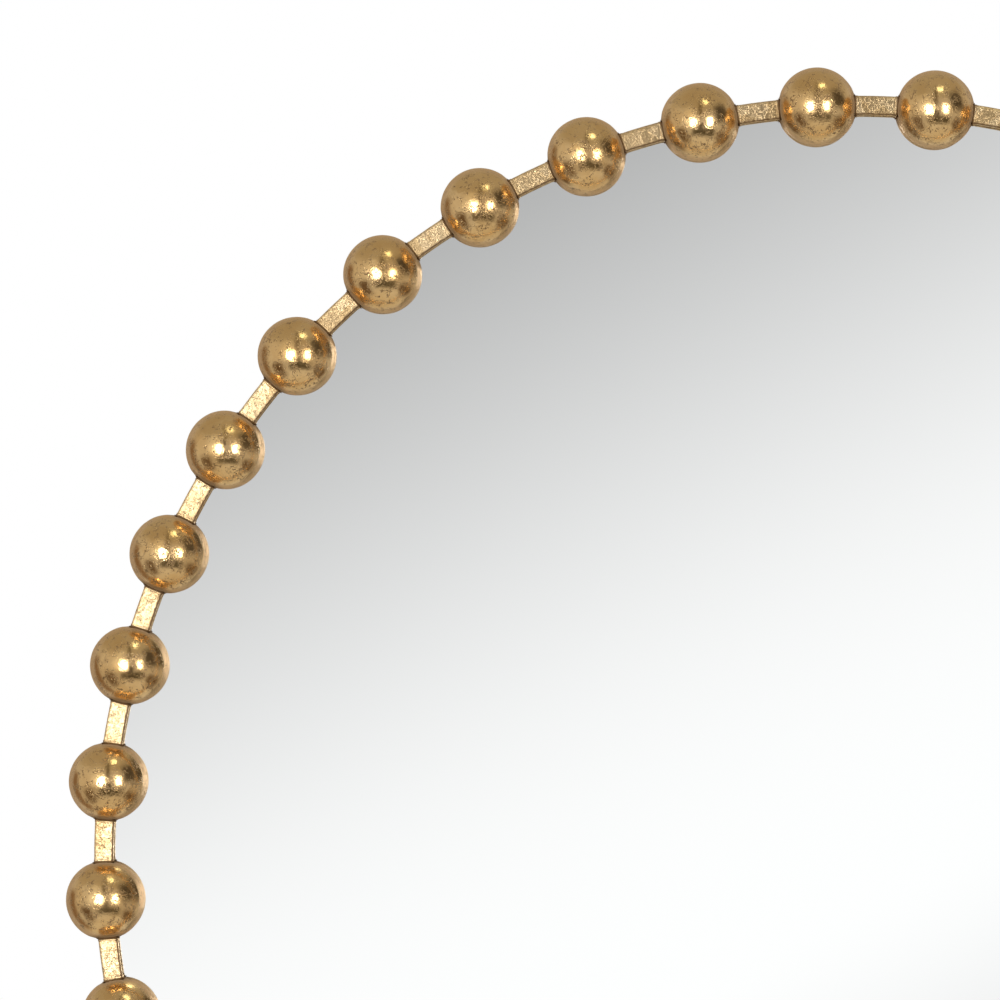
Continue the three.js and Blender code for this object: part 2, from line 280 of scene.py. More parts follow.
def make_gold_leaf():
    inputs = {"Position": None, "Leaf Size": 12 * MM, "Wrinkle Size": 1.5 * MM, "Tears": 0.5}
    group, given, end = new_group("gold_leaf", inputs, ["Tone", "Tears", "Height"])
    position = given["Position"]
    leaf_scale = sum_of(group, "DIVIDE", 1.0, given["Leaf Size"])
    sway = place(group, "ShaderNodeTexNoise", {"Vector": position, "Scale": leaf_scale, "Detail": 3.0})
    sway_size = place(group, "ShaderNodeVectorMath", {0: sway.outputs["Color"]}, operation="SCALE")
    group.links.new(sum_of(group, "MULTIPLY", given["Leaf Size"], 0.9), sway_size.inputs["Scale"])
    swayed = place(group, "ShaderNodeVectorMath", {0: position, 1: sway_size.outputs[0]}).outputs[0]
    cells = place(group, "ShaderNodeTexVoronoi", {"Vector": swayed, "Scale": leaf_scale})
    edges = place(group, "ShaderNodeTexVoronoi", {"Vector": swayed, "Scale": leaf_scale})
    edges.feature = "DISTANCE_TO_EDGE"
    laps = ramp(group, edges.outputs["Distance"], 0.0, LAP_WIDTH, 1.0, 0.0)
    tone = place(group, "ShaderNodeSeparateColor", {"Color": cells.outputs["Color"]}).outputs["Red"]

    wrinkle_scale = sum_of(group, "DIVIDE", 1.0, given["Wrinkle Size"])
    wrinkles = cloud(group, swayed, given["Wrinkle Size"], 3.0, 0.6)
    crack_scale = sum_of(group, "MULTIPLY", wrinkle_scale, 0.3)
    cracks = place(group, "ShaderNodeTexVoronoi", {"Vector": swayed, "Scale": crack_scale})
    cracks.feature = "DISTANCE_TO_EDGE"
    cracked = ramp(group, cracks.outputs["Distance"], 0.0, CRACK_WIDTH, 1.0, 0.0)
    where = cloud(group, position, sum_of(group, "MULTIPLY", given["Leaf Size"], 0.35), 3.0, 0.6)
    torn_from = sum_of(group, "MULTIPLY_ADD", given["Tears"], -0.3, 0.75)
    torn = ramp(group, where, torn_from, sum_of(group, "ADD", torn_from, 0.12))
    speck_size = sum_of(group, "MULTIPLY", given["Wrinkle Size"], 0.7)
    speck = ramp(group, cloud(group, position, speck_size, 3.0, 0.7), 0.53, 0.6)
    tears = sum_of(group, "MULTIPLY", torn, sum_of(group, "MAXIMUM", cracked, speck))
    height = sum_of(group, "MULTIPLY_ADD", laps, 0.5, wrinkles)
    height = sum_of(group, "MULTIPLY_ADD", tears, -0.8, height)
    for label, value in (("Tone", tone), ("Tears", tears), ("Height", height)):
        group.links.new(value, end.inputs[label])
    return group


gold_leaf = make_gold_leaf()

# %% [markdown]
# ## Wear, scratches and dust
#
# An edge that is handled loses its finish first. Cycles' Bevel node tells how close a point is to an
# edge, and noise breaks the line up. Scratches are noise that is stretched until it is all lines.
# Dust is soft, and lies in clouds.

# %% Groups: edge wear, scratches and dust
def make_edge_wear():
    inputs = {"Position": None, "Width": 0.6 * MM, "Patch Size": 3 * MM}
    group, given, end = new_group("edge_wear", inputs, ["Wear"])
    rounded = place(group, "ShaderNodeBevel", {"Radius": given["Width"]}, samples=4).outputs["Normal"]
    flat = place(group, "ShaderNodeNewGeometry").outputs["Normal"]
    facing = place(group, "ShaderNodeVectorMath", {0: rounded, 1: flat}, operation="DOT_PRODUCT")
    edge = ramp(group, facing.outputs["Value"], 0.99, 0.85)
    patches = cloud(group, given["Position"], given["Patch Size"], 4.0, 0.65)
    group.links.new(sum_of(group, "MULTIPLY", edge, ramp(group, patches, 0.4, 0.6)), end.inputs["Wear"])
    return group


def make_scratches():
    group, given, end = new_group("scratches", {"Position": None, "Size": 0.4 * MM}, ["Lines"])
    lines = [streaks(group, given["Position"], turn, given["Size"], 40, 1.0) for turn in (20, 75, -40)]
    crossed = sum_of(group, "MAXIMUM", lines[0], sum_of(group, "MAXIMUM", lines[1], lines[2]))
    patch_size = sum_of(group, "MULTIPLY", given["Size"], 30.0)
    patches = ramp(group, cloud(group, given["Position"], patch_size, 3.0, 0.6), 0.45, 0.62)
    scratched = sum_of(group, "MULTIPLY", ramp(group, crossed, 0.7, 0.8), patches)
    group.links.new(scratched, end.inputs["Lines"])
    return group


def make_dust():
    group, given, end = new_group("dust", {"Position": None, "Size": 30 * MM, "Amount": 0.4}, ["Dust"])
    clouds = cloud(group, given["Position"], given["Size"], 5.0, 0.6)
    grains = cloud(group, given["Position"], sum_of(group, "DIVIDE", given["Size"], 25.0), 2.0, 0.8)
    lying = sum_of(group, "MULTIPLY", ramp(group, clouds, 0.35, 0.75), ramp(group, grains, 0.35, 0.7))
    group.links.new(sum_of(group, "MULTIPLY", lying, given["Amount"]), end.inputs["Dust"])
    return group


edge_wear = make_edge_wear()
scratches = make_scratches()
dust = make_dust()
print("node groups:", [group.name for group in bpy.data.node_groups])

# %% [markdown]
# ## Finish of the balls
#
# The balls are gilded and burnished, then toned with a brown glaze that is wiped off again and stays where
# the cloth can't reach: in the tears, and round the mouths where the bar goes in. Round the mouths the brown
# is also painted shade and painted reflection of the bar, where ball and bar meet. The front of a ball is
# burnished bright, so the room shows in it. Its sides and back keep the matt of the leaf.

# %% Material: gilded ball
LEAF_BRIGHT = (0.92, 0.63, 0.30)
LEAF_DEEP = (0.80, 0.50, 0.20)
# the brown of the glaze in the tears, also used as painted shade round the mouths and on the bar
BROWN_GLAZE_AND_SHADE = (0.14, 0.06, 0.015)
LEAF_MATT = (0.76, 0.54, 0.31)
# where the glaze and the painted shade round a ball's mouths begin, and where they are full
MOUTH_GLAZE_AND_SHADE_FROM = ball_radius - 3.6 * MM  # along the bar, from the ball's middle
MOUTH_GLAZE_AND_SHADE_FULL = ball_radius - 1.2 * MM
MATT_FROM = -11 * MM  # behind the ball's middle, so this lies in front of it
MATT_FULL = -5 * MM


def make_gilt_ball():
    material, tree, shader, position = new_material("gilt_ball")
    leaf = use_group(tree, gold_leaf, Position=position, Leaf_Size=11 * MM, Wrinkle_Size=1.6 * MM, Tears=0.95)
    on_hoop = use_group(tree, hoop_place, Position=position)
    # Round the mouths the brown is partly glaze and partly painted shade and painted reflection of the bar.
    near_bar = ramp(tree, sum_of(tree, "ABSOLUTE", on_hoop["Along"]), MOUTH_GLAZE_AND_SHADE_FROM, MOUTH_GLAZE_AND_SHADE_FULL)
    blotches = ramp(tree, cloud(tree, position, 2.5 * MM, 3.0, 0.6), 0.13, 0.36)
    glaze_and_shade = sum_of(tree, "MULTIPLY", near_bar, blotches)
    glaze_and_shade = sum_of(tree, "MAXIMUM", glaze_and_shade, sum_of(tree, "MULTIPLY", leaf["Tears"], 0.85))
    broad = ramp(tree, cloud(tree, position, 14 * MM, 3.0), 0.35, 0.7)
    tone = sum_of(tree, "MULTIPLY_ADD", leaf["Tone"], 0.45, sum_of(tree, "MULTIPLY", broad, 0.5))
    colour = blended(tree, tone, LEAF_BRIGHT, LEAF_DEEP)
    colour = blended(tree, glaze_and_shade, colour, BROWN_GLAZE_AND_SHADE)
    side_matt = ramp(tree, on_hoop["Depth"], MATT_FROM, MATT_FULL)
    colour = blended(tree, sum_of(tree, "MULTIPLY", side_matt, 0.6), colour, LEAF_MATT)
    grain = cloud(tree, position, 0.7 * MM, 2.0, 0.7)
    rough = sum_of(tree, "MULTIPLY_ADD", grain, 0.12, 0.10)
    rough = sum_of(tree, "MULTIPLY_ADD", leaf["Tone"], 0.06, rough)
    rough = sum_of(tree, "MULTIPLY_ADD", glaze_and_shade, 0.3, rough)
    rough = sum_of(tree, "MULTIPLY_ADD", side_matt, 0.42, rough)
    lay_on(tree, shader, colour, rough)
    tree.links.new(sum_of(tree, "MULTIPLY_ADD", glaze_and_shade, -0.8, 1.0), shader.inputs["Metallic"])
    bump(tree, shader, sum_of(tree, "MULTIPLY_ADD", grain, 0.3, leaf["Height"]), 0.045 * MM)
    return material


gilt_ball = make_gilt_ball()

# %% [markdown]
# ## Finish of the bar
#
# The bar is gilded with the same leaf, but its faces are drawn steel, with a grain that runs along them. The
# grain spreads a reflection sideways, across the bar, which the shader does with its anisotropy along a
# tangent round the hoop. So an upright stretch of the bar catches the lamps at the left and right and nearly
# burns out, and a level stretch misses them. Along the arrises, and wider along the inner one, a brown band
# is painted shade and painted dark reflection of the rounded edges. Near each ball the bar turns brown, and
# the valleys of its crinkle are painted darker as shade.

# %% Material: gilded bar
BAR_BRIGHT = (0.95, 0.72, 0.42)
BAR_DEEP = (0.80, 0.56, 0.28)
QUARTER_TURN = 0.25
# where the bar begins to turn brown near a ball, and where it is full
BROWN_NEAR_BALLS_FROM = ball_radius + 0.1 * MM  # along the bar, from the ball's middle
BROWN_NEAR_BALLS_FULL = ball_radius - 0.4 * MM
ARRIS_SHADE_INWARDS = 0.35 * MM  # the band of painted shade is this much wider along the inner arris
ARRIS_SHADE_FROM = bar_width / 2 - 0.35 * MM
ARRIS_SHADE_FULL = bar_width / 2 + 0.1 * MM


def make_gilt_bar():
    material, tree, shader, position = new_material("gilt_bar", Anisotropic=0.94)
    shader.inputs["Anisotropic Rotation"].default_value = QUARTER_TURN
    round_hoop = place(tree, "ShaderNodeTangent", direction_type="RADIAL", axis="Y")
    tree.links.new(round_hoop.outputs["Tangent"], shader.inputs["Tangent"])
    leaf = use_group(tree, gold_leaf, Position=position, Leaf_Size=7 * MM, Wrinkle_Size=1.1 * MM, Tears=0.9)
    on_hoop = use_group(tree, hoop_place, Position=position)
    blotches = cloud(tree, position, 1.6 * MM, 4.0, 0.6)
    # The bar turns brown near each ball, where it meets it.
    brown_near_balls = ramp(tree, sum_of(tree, "ABSOLUTE", on_hoop["Along"]), BROWN_NEAR_BALLS_FROM, BROWN_NEAR_BALLS_FULL)
    # The brown band along the arrises, wider on the inner side, is painted shade and painted dark reflection
    # of the rounded edges.
    inwards = sum_of(tree, "SUBTRACT", on_hoop["Across"], ARRIS_SHADE_INWARDS)
    side_reach = sum_of(tree, "ABSOLUTE", inwards)
    arris = sum_of(tree, "MINIMUM", side_reach, sum_of(tree, "ABSOLUTE", on_hoop["Depth"]))
    arris = sum_of(tree, "MULTIPLY_ADD", blotches, 1.4 * MM, arris)
    arris_shade = ramp(tree, arris, ARRIS_SHADE_FROM, ARRIS_SHADE_FULL)
    brown_near_balls = sum_of(tree, "MULTIPLY", brown_near_balls, 0.8)
    glaze_and_shade = sum_of(tree, "MAXIMUM", brown_near_balls, sum_of(tree, "MULTIPLY", arris_shade, 0.85))
    glaze_and_shade = sum_of(tree, "MAXIMUM", glaze_and_shade, sum_of(tree, "MULTIPLY", leaf["Tears"], 0.6))
    # The valleys of the crinkle are darkened: painted shade, laid in the colour in place of a deeper bump.
    valleys = ramp(tree, cloud(tree, position, 1.4 * MM, 2.0, 0.6), 0.5, 0.36)
    glaze_and_shade = sum_of(tree, "MAXIMUM", glaze_and_shade, sum_of(tree, "MULTIPLY", valleys, 0.3))
    colour = blended(tree, leaf["Tone"], BAR_BRIGHT, BAR_DEEP)
    colour = blended(tree, glaze_and_shade, colour, BROWN_GLAZE_AND_SHADE)
    rough = sum_of(tree, "MULTIPLY_ADD", leaf["Tone"], 0.04, 0.34)
    rough = sum_of(tree, "MULTIPLY_ADD", glaze_and_shade, 0.1, rough)
    lay_on(tree, shader, colour, rough)
    tree.links.new(sum_of(tree, "MULTIPLY_ADD", glaze_and_shade, -0.7, 1.0), shader.inputs["Metallic"])
    bump(tree, shader, sum_of(tree, "SUBTRACT", leaf["Height"], valleys), 0.05 * MM)
    return material


gilt_bar = make_gilt_bar()

# %% [markdown]
# ## Finish of the rim
#
# Nobody sees the rim from the front, so it is only sprayed with gold paint, over a dark primer that
# shows at rubbed edges. Paint has a fine even grain, like the skin of an orange.

# %% Material: gold paint of the rim
PAINT_LIGHT = (0.70, 0.49, 0.22)
PAINT_DARK = (0.56, 0.36, 0.14)
PRIMER = (0.07, 0.045, 0.03)
PAINT_DUST = (0.55, 0.52, 0.47)


def make_gilt_rim():
    material, tree, shader, position = new_material("gilt_rim")
    wear = use_group(tree, edge_wear, Position=position, Width=0.7 * MM, Patch_Size=5 * MM)["Wear"]
    dusty = use_group(tree, dust, Position=position, Size=25 * MM, Amount=0.35)["Dust"]
    lines = use_group(tree, scratches, Position=position, Size=0.5 * MM)["Lines"]
    bare = sum_of(tree, "MAXIMUM", wear, sum_of(tree, "MULTIPLY", lines, 0.4))
    broad = ramp(tree, cloud(tree, position, 35 * MM, 4.0, 0.6), 0.3, 0.7)
    colour = blended(tree, broad, PAINT_LIGHT, PAINT_DARK)
    colour = blended(tree, bare, colour, PRIMER)
    colour = blended(tree, dusty, colour, PAINT_DUST)
    peel = cloud(tree, position, 0.9 * MM, 2.0, 0.6)
    rough = sum_of(tree, "MULTIPLY_ADD", peel, 0.15, 0.3)
    rough = sum_of(tree, "MULTIPLY_ADD", sum_of(tree, "MAXIMUM", bare, dusty), 0.3, rough)
    lay_on(tree, shader, colour, rough)
    metal = sum_of(tree, "SUBTRACT", 1.0, sum_of(tree, "MAXIMUM", bare, dusty))
    tree.links.new(metal, shader.inputs["Metallic"])
    bump(tree, shader, sum_of(tree, "MULTIPLY_ADD", bare, -0.8, peel), 0.05 * MM)
    return material


gilt_rim = make_gilt_rim()

# %% [markdown]
# ## Finish of the glass
#
# The silver lies on the back of the glass, under a grey paint, and the edge is ground matt. Seen
# from the front the sheet is a mirror with the faint green of its iron, so one metal surface that is
# nearly perfectly smooth stands for glass and silver together. Where a point lies on the disc tells
# the mirror, the ground edge and the painted back apart. Wiping leaves the faintest haze.

# %% Material: silvered glass
SILVER = (0.955, 0.965, 0.962)
GROUND_EDGE = (0.62, 0.70, 0.66)
BACK_PAINT = (0.10, 0.11, 0.115)
glass_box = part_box("mirror_glass")
glass_radius = glass_box[1].x
GLASS_ARRIS = 0.6 * MM
GROUND_BLEND = 0.05 * MM
PAINT_FROM = 0.5 * MM
PAINT_FULL = 0.2 * MM


def make_silvered_glass():
    material, tree, shader, position = new_material("silvered_glass")
    split = place(tree, "ShaderNodeSeparateXYZ", {"Vector": position}).outputs
    squares = sum_of(tree, "MULTIPLY", split["X"], split["X"])
    squares = sum_of(tree, "MULTIPLY_ADD", split["Z"], split["Z"], squares)
    reach = sum_of(tree, "SQRT", squares)
    inside_arris = glass_radius - GLASS_ARRIS
    back = glass_box[1].y
    ground = ramp(tree, reach, inside_arris - GROUND_BLEND, inside_arris)
    painted = ramp(tree, split["Y"], back - PAINT_FROM, back - PAINT_FULL)
    matt = sum_of(tree, "MAXIMUM", ground, painted)
    wiped = ramp(tree, streaks(tree, position, 25, 60 * MM, 7, 5.0, 0.6), 0.45, 0.8)
    colour = blended(tree, ground, SILVER, GROUND_EDGE)
    colour = blended(tree, painted, colour, BACK_PAINT)
    grain = cloud(tree, position, 0.3 * MM, 2.0, 0.7)
    rough = sum_of(tree, "MULTIPLY_ADD", wiped, 0.012, 0.004)
    rough = sum_of(tree, "MULTIPLY_ADD", sum_of(tree, "MULTIPLY", matt, grain), 0.9, rough)
    lay_on(tree, shader, colour, rough)
    tree.links.new(sum_of(tree, "SUBTRACT", 1.0, matt), shader.inputs["Metallic"])
    return material


silvered_glass = make_silvered_glass()

# %% [markdown]
# ## Finish of the board
#
# The board is pressed wood fibre: brown, matt and mottled, with pale fibres and dark specks, and a
# little dust from the workshop. The fibres are noise that is stretched two ways across each other.

# %% Material: fibre board
FIBRE_BROWN = (0.30, 0.185, 0.10)
FIBRE_DARK = (0.20, 0.118, 0.06)
FIBRE_PALE = (0.46, 0.33, 0.20)
FIBRE_DUST = (0.5, 0.46, 0.4)


def make_fibre_board():
    material, tree, shader, position = new_material("fibre_board")
    fibres = [streaks(tree, position, turn, 0.8 * MM, 8, 3.0, 0.6) for turn in (35, -50, 85)]
    crossed = sum_of(tree, "MAXIMUM", fibres[0], sum_of(tree, "MAXIMUM", fibres[1], fibres[2]))
    mottled = ramp(tree, cloud(tree, position, 30 * MM, 6.0, 0.7), 0.25, 0.75)
    specks = ramp(tree, cloud(tree, position, 1.4 * MM, 2.0, 0.7), 0.62, 0.7)
    dusty = use_group(tree, dust, Position=position, Size=90 * MM, Amount=0.22)["Dust"]
    lines = use_group(tree, scratches, Position=position, Size=0.7 * MM)["Lines"]
    colour = blended(tree, mottled, FIBRE_BROWN, FIBRE_DARK)
    colour = blended(tree, ramp(tree, crossed, 0.58, 0.75), colour, FIBRE_PALE)
    colour = blended(tree, sum_of(tree, "MULTIPLY", specks, 0.7), colour, FIBRE_DARK)
    colour = blended(tree, sum_of(tree, "MULTIPLY", lines, 0.5), colour, FIBRE_PALE)
    colour = blended(tree, dusty, colour, FIBRE_DUST)
    rough = sum_of(tree, "MULTIPLY_ADD", crossed, 0.2, 0.68)
    lay_on(tree, shader, colour, rough)
    bump(tree, shader, sum_of(tree, "SUBTRACT", crossed, lines), 0.12 * MM)
    return material


fibre_board = make_fibre_board()

# %% [markdown]
# ## Finish of the small steel parts
#
# Tabs, straps, D-rings and screws are zinc plated. Zinc is grey with a faint crystal pattern, duller
# where it has been handled, and it is scratched bright where a screwdriver or a hook has rubbed it.

# %% Material: zinc-plated steel
ZINC_LIGHT = (0.66, 0.67, 0.68)
ZINC_DARK = (0.50, 0.505, 0.50)
ZINC_RUBBED = (0.80, 0.80, 0.79)


def make_zinc_steel():
    material, tree, shader, position = new_material("zinc_steel", Metallic=1.0)
    wear = use_group(tree, edge_wear, Position=position, Width=0.4 * MM, Patch_Size=2 * MM)["Wear"]
    lines = use_group(tree, scratches, Position=position, Size=0.35 * MM)["Lines"]
    crystals = place(tree, "ShaderNodeTexVoronoi", {"Vector": position, "Scale": 1 / (2.2 * MM)})
    spangle = place(tree, "ShaderNodeSeparateColor", {"Color": crystals.outputs["Color"]}).outputs["Red"]
    broad = ramp(tree, cloud(tree, position, 9 * MM, 4.0, 0.6), 0.3, 0.7)
    tone = sum_of(tree, "MULTIPLY_ADD", spangle, 0.35, sum_of(tree, "MULTIPLY", broad, 0.55))
    rubbed = sum_of(tree, "MAXIMUM", wear, lines)
    colour = blended(tree, tone, ZINC_LIGHT, ZINC_DARK)
    colour = blended(tree, rubbed, colour, ZINC_RUBBED)
    rough = sum_of(tree, "MULTIPLY_ADD", tone, 0.2, 0.26)
    rough = sum_of(tree, "MULTIPLY_ADD", rubbed, -0.12, rough)
    lay_on(tree, shader, colour, rough)
    height = sum_of(tree, "MULTIPLY_ADD", rubbed, -0.5, cloud(tree, position, 0.6 * MM, 2.0, 0.6))
    bump(tree, shader, height, 0.02 * MM)
    return material


zinc_steel = make_zinc_steel()

# %% [markdown]
# ## Finish of the bumpers
#
# Moulded rubber is nearly black, matt and faintly grainy. Its rubbed edges are greyer, and it holds
# a little dust.

# %% Material: black rubber
RUBBER_BLACK = (0.018, 0.018, 0.019)
RUBBER_GREY = (0.04, 0.039, 0.038)
RUBBER_RUBBED = (0.11, 0.11, 0.108)
RUBBER_DUST = (0.24, 0.225, 0.2)


def make_black_rubber():
    material, tree, shader, position = new_material("black_rubber")
    wear = use_group(tree, edge_wear, Position=position, Width=0.8 * MM, Patch_Size=2 * MM)["Wear"]
    dusty = use_group(tree, dust, Position=position, Size=8 * MM, Amount=0.35)["Dust"]
    grain = cloud(tree, position, 0.35 * MM, 2.0, 0.7)
    colour = blended(tree, cloud(tree, position, 5 * MM, 3.0), RUBBER_BLACK, RUBBER_GREY)
    colour = blended(tree, sum_of(tree, "MULTIPLY", wear, 0.6), colour, RUBBER_RUBBED)
    colour = blended(tree, dusty, colour, RUBBER_DUST)
    rough = sum_of(tree, "MULTIPLY_ADD", grain, 0.2, 0.62)
    lay_on(tree, shader, colour, rough)
    bump(tree, shader, grain, 0.04 * MM)
    return material


black_rubber = make_black_rubber()

# %% [markdown]
# ## Helpers for meshes
#
# A piece is shaped in a bmesh and stands in it where it stands on the mirror, so that its object can
# stay at the origin, unturned. Round pieces are an outline that is spun, and a piece that repeats
# is made once at three o'clock and carried round the hoop.

# %% Shape and finish pieces
def at_angle(angle):
    """The turn that carries three o'clock to an angle on the hoop, seen from the front."""
    return Matrix.Rotation(-angle, 4, "Y")


def outline(bm, corners, rounding, segments):
    """A closed outline in the X-Y plane, with its corners rounded."""
    verts = [bm.verts.new((x, y, 0)) for x, y in corners]
    bm.faces.new(verts)
    bevel_corners(bm, verts, rounding, segments)
    bmesh.ops.delete(bm, geom=bm.faces[:], context="FACES_ONLY")


def bevel_corners(bm, verts, size, segments):
    bmesh.ops.bevel(
        bm, geom=verts, offset=size, segments=segments, profile=0.5, affect="VERTICES", material=-1
    )


def bevel_edges(bm, edges, size, segments):
    bmesh.ops.bevel(
        bm, geom=edges, offset=size, segments=segments, profile=0.5, affect="EDGES", material=-1
    )


def spin_round(bm, axis, steps):
    """Spins all that is in the bmesh once round, and closes the seam and the poles."""
    geometry = bm.verts[:] + bm.edges[:]
    bmesh.ops.spin(
        bm, geom=geometry, cent=(0, 0, 0), axis=axis, angle=2 * math.pi, steps=steps, use_merge=True
    )
    tidy(bm)


def tidy(bm):
    bmesh.ops.remove_doubles(bm, verts=bm.verts[:], dist=0.0001 * MM)
    bmesh.ops.recalc_face_normals(bm, faces=bm.faces[:])


def sharp_edges(bm, degrees):
    return [e for e in bm.edges if e.is_manifold and e.calc_face_angle() > math.radians(degrees)]


def verts_of(made):
    return [item for item in made if isinstance(item, bmesh.types.BMVert)]


def edges_of(made):
    return [item for item in made if isinstance(item, bmesh.types.BMEdge)]


def spun(points, steps):
    """A solid round the Y axis, from an outline that starts and ends on it."""
    bm = bmesh.new()
    verts = [bm.verts.new((x, y, 0)) for x, y in points]
    for first, second in zip(verts, verts[1:]):
        bm.edges.new((first, second))
    spin_round(bm, (0, 1, 0), steps)
    return bm


def as_object(name, bm):
    """Turns a bmesh into an object that isn't in the scene yet."""
    mesh = bpy.data.meshes.new(name)
    bm.to_mesh(mesh)
    bm.free()
    return bpy.data.objects.new(name, mesh)


def finished(name, bm, material, stands_for=(), body="mirror", crease=35):
    """Turns a bmesh into a piece that rides on a body; edges past crease degrees show sharp."""
    piece = as_object(name, bm)
    piece.data.materials.append(material)
    piece.data.shade_smooth()
    piece.data.set_sharp_from_angle(angle=math.radians(crease))
    bpy.context.scene.collection.objects.link(piece)
    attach(piece, body)
    if stands_for:
        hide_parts(*stands_for)
    return piece


def carried(one, places):
    """Copies of a bmesh at several places, as one bmesh."""
    mesh = bpy.data.meshes.new("one")
    one.to_mesh(mesh)
    one.free()
    bm = bmesh.new()
    for matrix in places:
        before = len(bm.verts)
        bm.from_mesh(mesh)
        bm.verts.ensure_lookup_table()
        bmesh.ops.transform(bm, matrix=matrix, verts=bm.verts[before:])
    bpy.data.meshes.remove(mesh)
    return bm


# %% [markdown]
# ## Balls
#
# Each ball is a pressed steel shell with a square way through it for the bar. An arc from one mouth
# to the other is spun round the bar's line, which leaves a round mouth at each end. Each mouth is
# drawn in to the square of the bore, and the shell gets its wall. The ground and the leaf are laid
# by hand, so every ball is a little uneven, in its own way: noise moves its skin.

# %% Ball shell at the origin, with the bar along X
BALL_WALL = 1.4 * MM
BORE_PLAY = 0.3 * MM
MOUTH_RADIUS = 8.6 * MM
ARC_STEPS = 40
ROUND_STEPS = 72
bar_bow = ball_radius**2 / (2 * hoop_radius)  # how far the curved bar sinks over a ball's radius


def on_ball(vert, side):
    """Lifts a point back to the ball's surface, on the left or right side."""
    height = ball_radius**2 - vert.co.y**2 - vert.co.z**2
    vert.co.x = side * math.sqrt(height)


def ball_shell():
    bm = bmesh.new()
    mouth = math.asin(MOUTH_RADIUS / ball_radius)
    start = bm.verts.new((ball_radius * math.cos(mouth), ball_radius * math.sin(mouth), 0))
    sweep = math.pi - 2 * mouth
    bmesh.ops.spin(bm, geom=[start], cent=(0, 0, 0), axis=(0, 0, 1), angle=sweep, steps=ARC_STEPS)
    spin_round(bm, (1, 0, 0), ROUND_STEPS)
    mouths = [edge for edge in bm.edges if edge.is_boundary]
    drawn = bmesh.ops.extrude_edge_only(bm, edges=mouths)["geom"]
    bore = bar_width / 2 + BORE_PLAY
    for vert in verts_of(drawn):
        side = math.copysign(1, vert.co.x)
        square = bore / max(abs(vert.co.y), abs(vert.co.z))
        vert.co.y *= square
        vert.co.z = vert.co.z * square - bar_bow
        on_ball(vert, side)
    bmesh.ops.recalc_face_normals(bm, faces=bm.faces[:])
    return bm


# %% Forty uneven balls in the hoop
SAG_SIZE = 17 * MM
SAG_DEPTH = 0.16 * MM
RIPPLE_SIZE = 5 * MM
RIPPLE_DEPTH = 0.045 * MM
ball_turns = [at_angle(first_angle + number * ball_step) for number in range(len(ball_nodes))]


def uneven(bm, sag_depth, ripple_depth):
    """Moves the skin in along its normal, more here and less there, as a coat laid by hand is."""
    bm.normal_update()
    for vert in bm.verts:
        sag = (noise.noise(vert.co / SAG_SIZE) - 1) * sag_depth
        ripple = (noise.noise(vert.co / RIPPLE_SIZE) - 1) * ripple_depth
        vert.co += vert.normal * (sag + ripple)


def ball_places():
    """Carries what stands at the origin, with the bar along X, to each ball's place."""
    upright = Matrix.Rotation(math.radians(90), 4, "Y")  # turns the bar upright, and Z outwards
    out = Matrix.Translation((hoop_radius, hoop_y, 0))
    return [turn @ out @ upright for turn in ball_turns]


def hang_balls():
    shell = ball_shell()
    for number, (node, place_on_bar) in enumerate(zip(ball_nodes, ball_places()), start=1):
        ball = shell.copy()
        bmesh.ops.transform(ball, matrix=place_on_bar, verts=ball.verts[:])
        uneven(ball, SAG_DEPTH, RIPPLE_DEPTH)
        bmesh.ops.solidify(ball, geom=ball.faces[:], thickness=BALL_WALL)
        finished(f"gilt_ball_{number:02d}", ball, gilt_ball, [node])
    print(f"{len(ball_nodes)} balls of {len(shell.faces) * 2} faces")
    shell.free()


hang_balls()

# %% [markdown]
# ## Bar
#
# The bar is square stock with slightly rounded edges, rolled to a hoop. Its outline is a rounded
# square, spun once round the mirror's middle. A slight unevenness keeps its reflections alive.

# %% Square bar, rolled to a hoop
BAR_ROUNDING = 1.7 * MM
BAR_STEPS_PER_BALL = 10
BAR_SAG = 0.05 * MM
BAR_RIPPLE = 0.03 * MM
CUT_INSIDE = 0.3 * MM


def roll_bar():
    bm = bmesh.new()
    half = bar_width / 2
    ends = [(-half, -half), (half, -half), (half, half), (-half, half)]
    outline(bm, [(hoop_radius + x, hoop_y + y) for x, y in ends], BAR_ROUNDING, 4)
    inside_flat = half - BAR_ROUNDING - CUT_INSIDE  # a cut here lets the flats shade flat
    for axis, centre in ((0, hoop_radius), (1, hoop_y)):
        for sign in (1, -1):
            spot, normal = Vector(), Vector()
            spot[axis] = centre + sign * inside_flat
            normal[axis] = sign
            geometry = bm.verts[:] + bm.edges[:]
            bmesh.ops.bisect_plane(bm, geom=geometry, plane_co=spot, plane_no=normal)
    spin_round(bm, (0, 1, 0), len(ball_nodes) * BAR_STEPS_PER_BALL)
    uneven(bm, BAR_SAG, BAR_RIPPLE)
    return finished("gilt_bar_hoop", bm, gilt_bar, ["bead_ring"])


print("bar:", len(roll_bar().data.polygons), "faces")

# %% [markdown]
# ## Welds
#
# Each ball is brazed to the bar at both mouths. The filler stands up as a small rounded collar with
# a crease at its foot, and it is gilded over. Each ball is also tacked to the rim's lip behind it.
# A collar is a stack of rounded squares that are bridged to a ring, from the bar up to the ball.

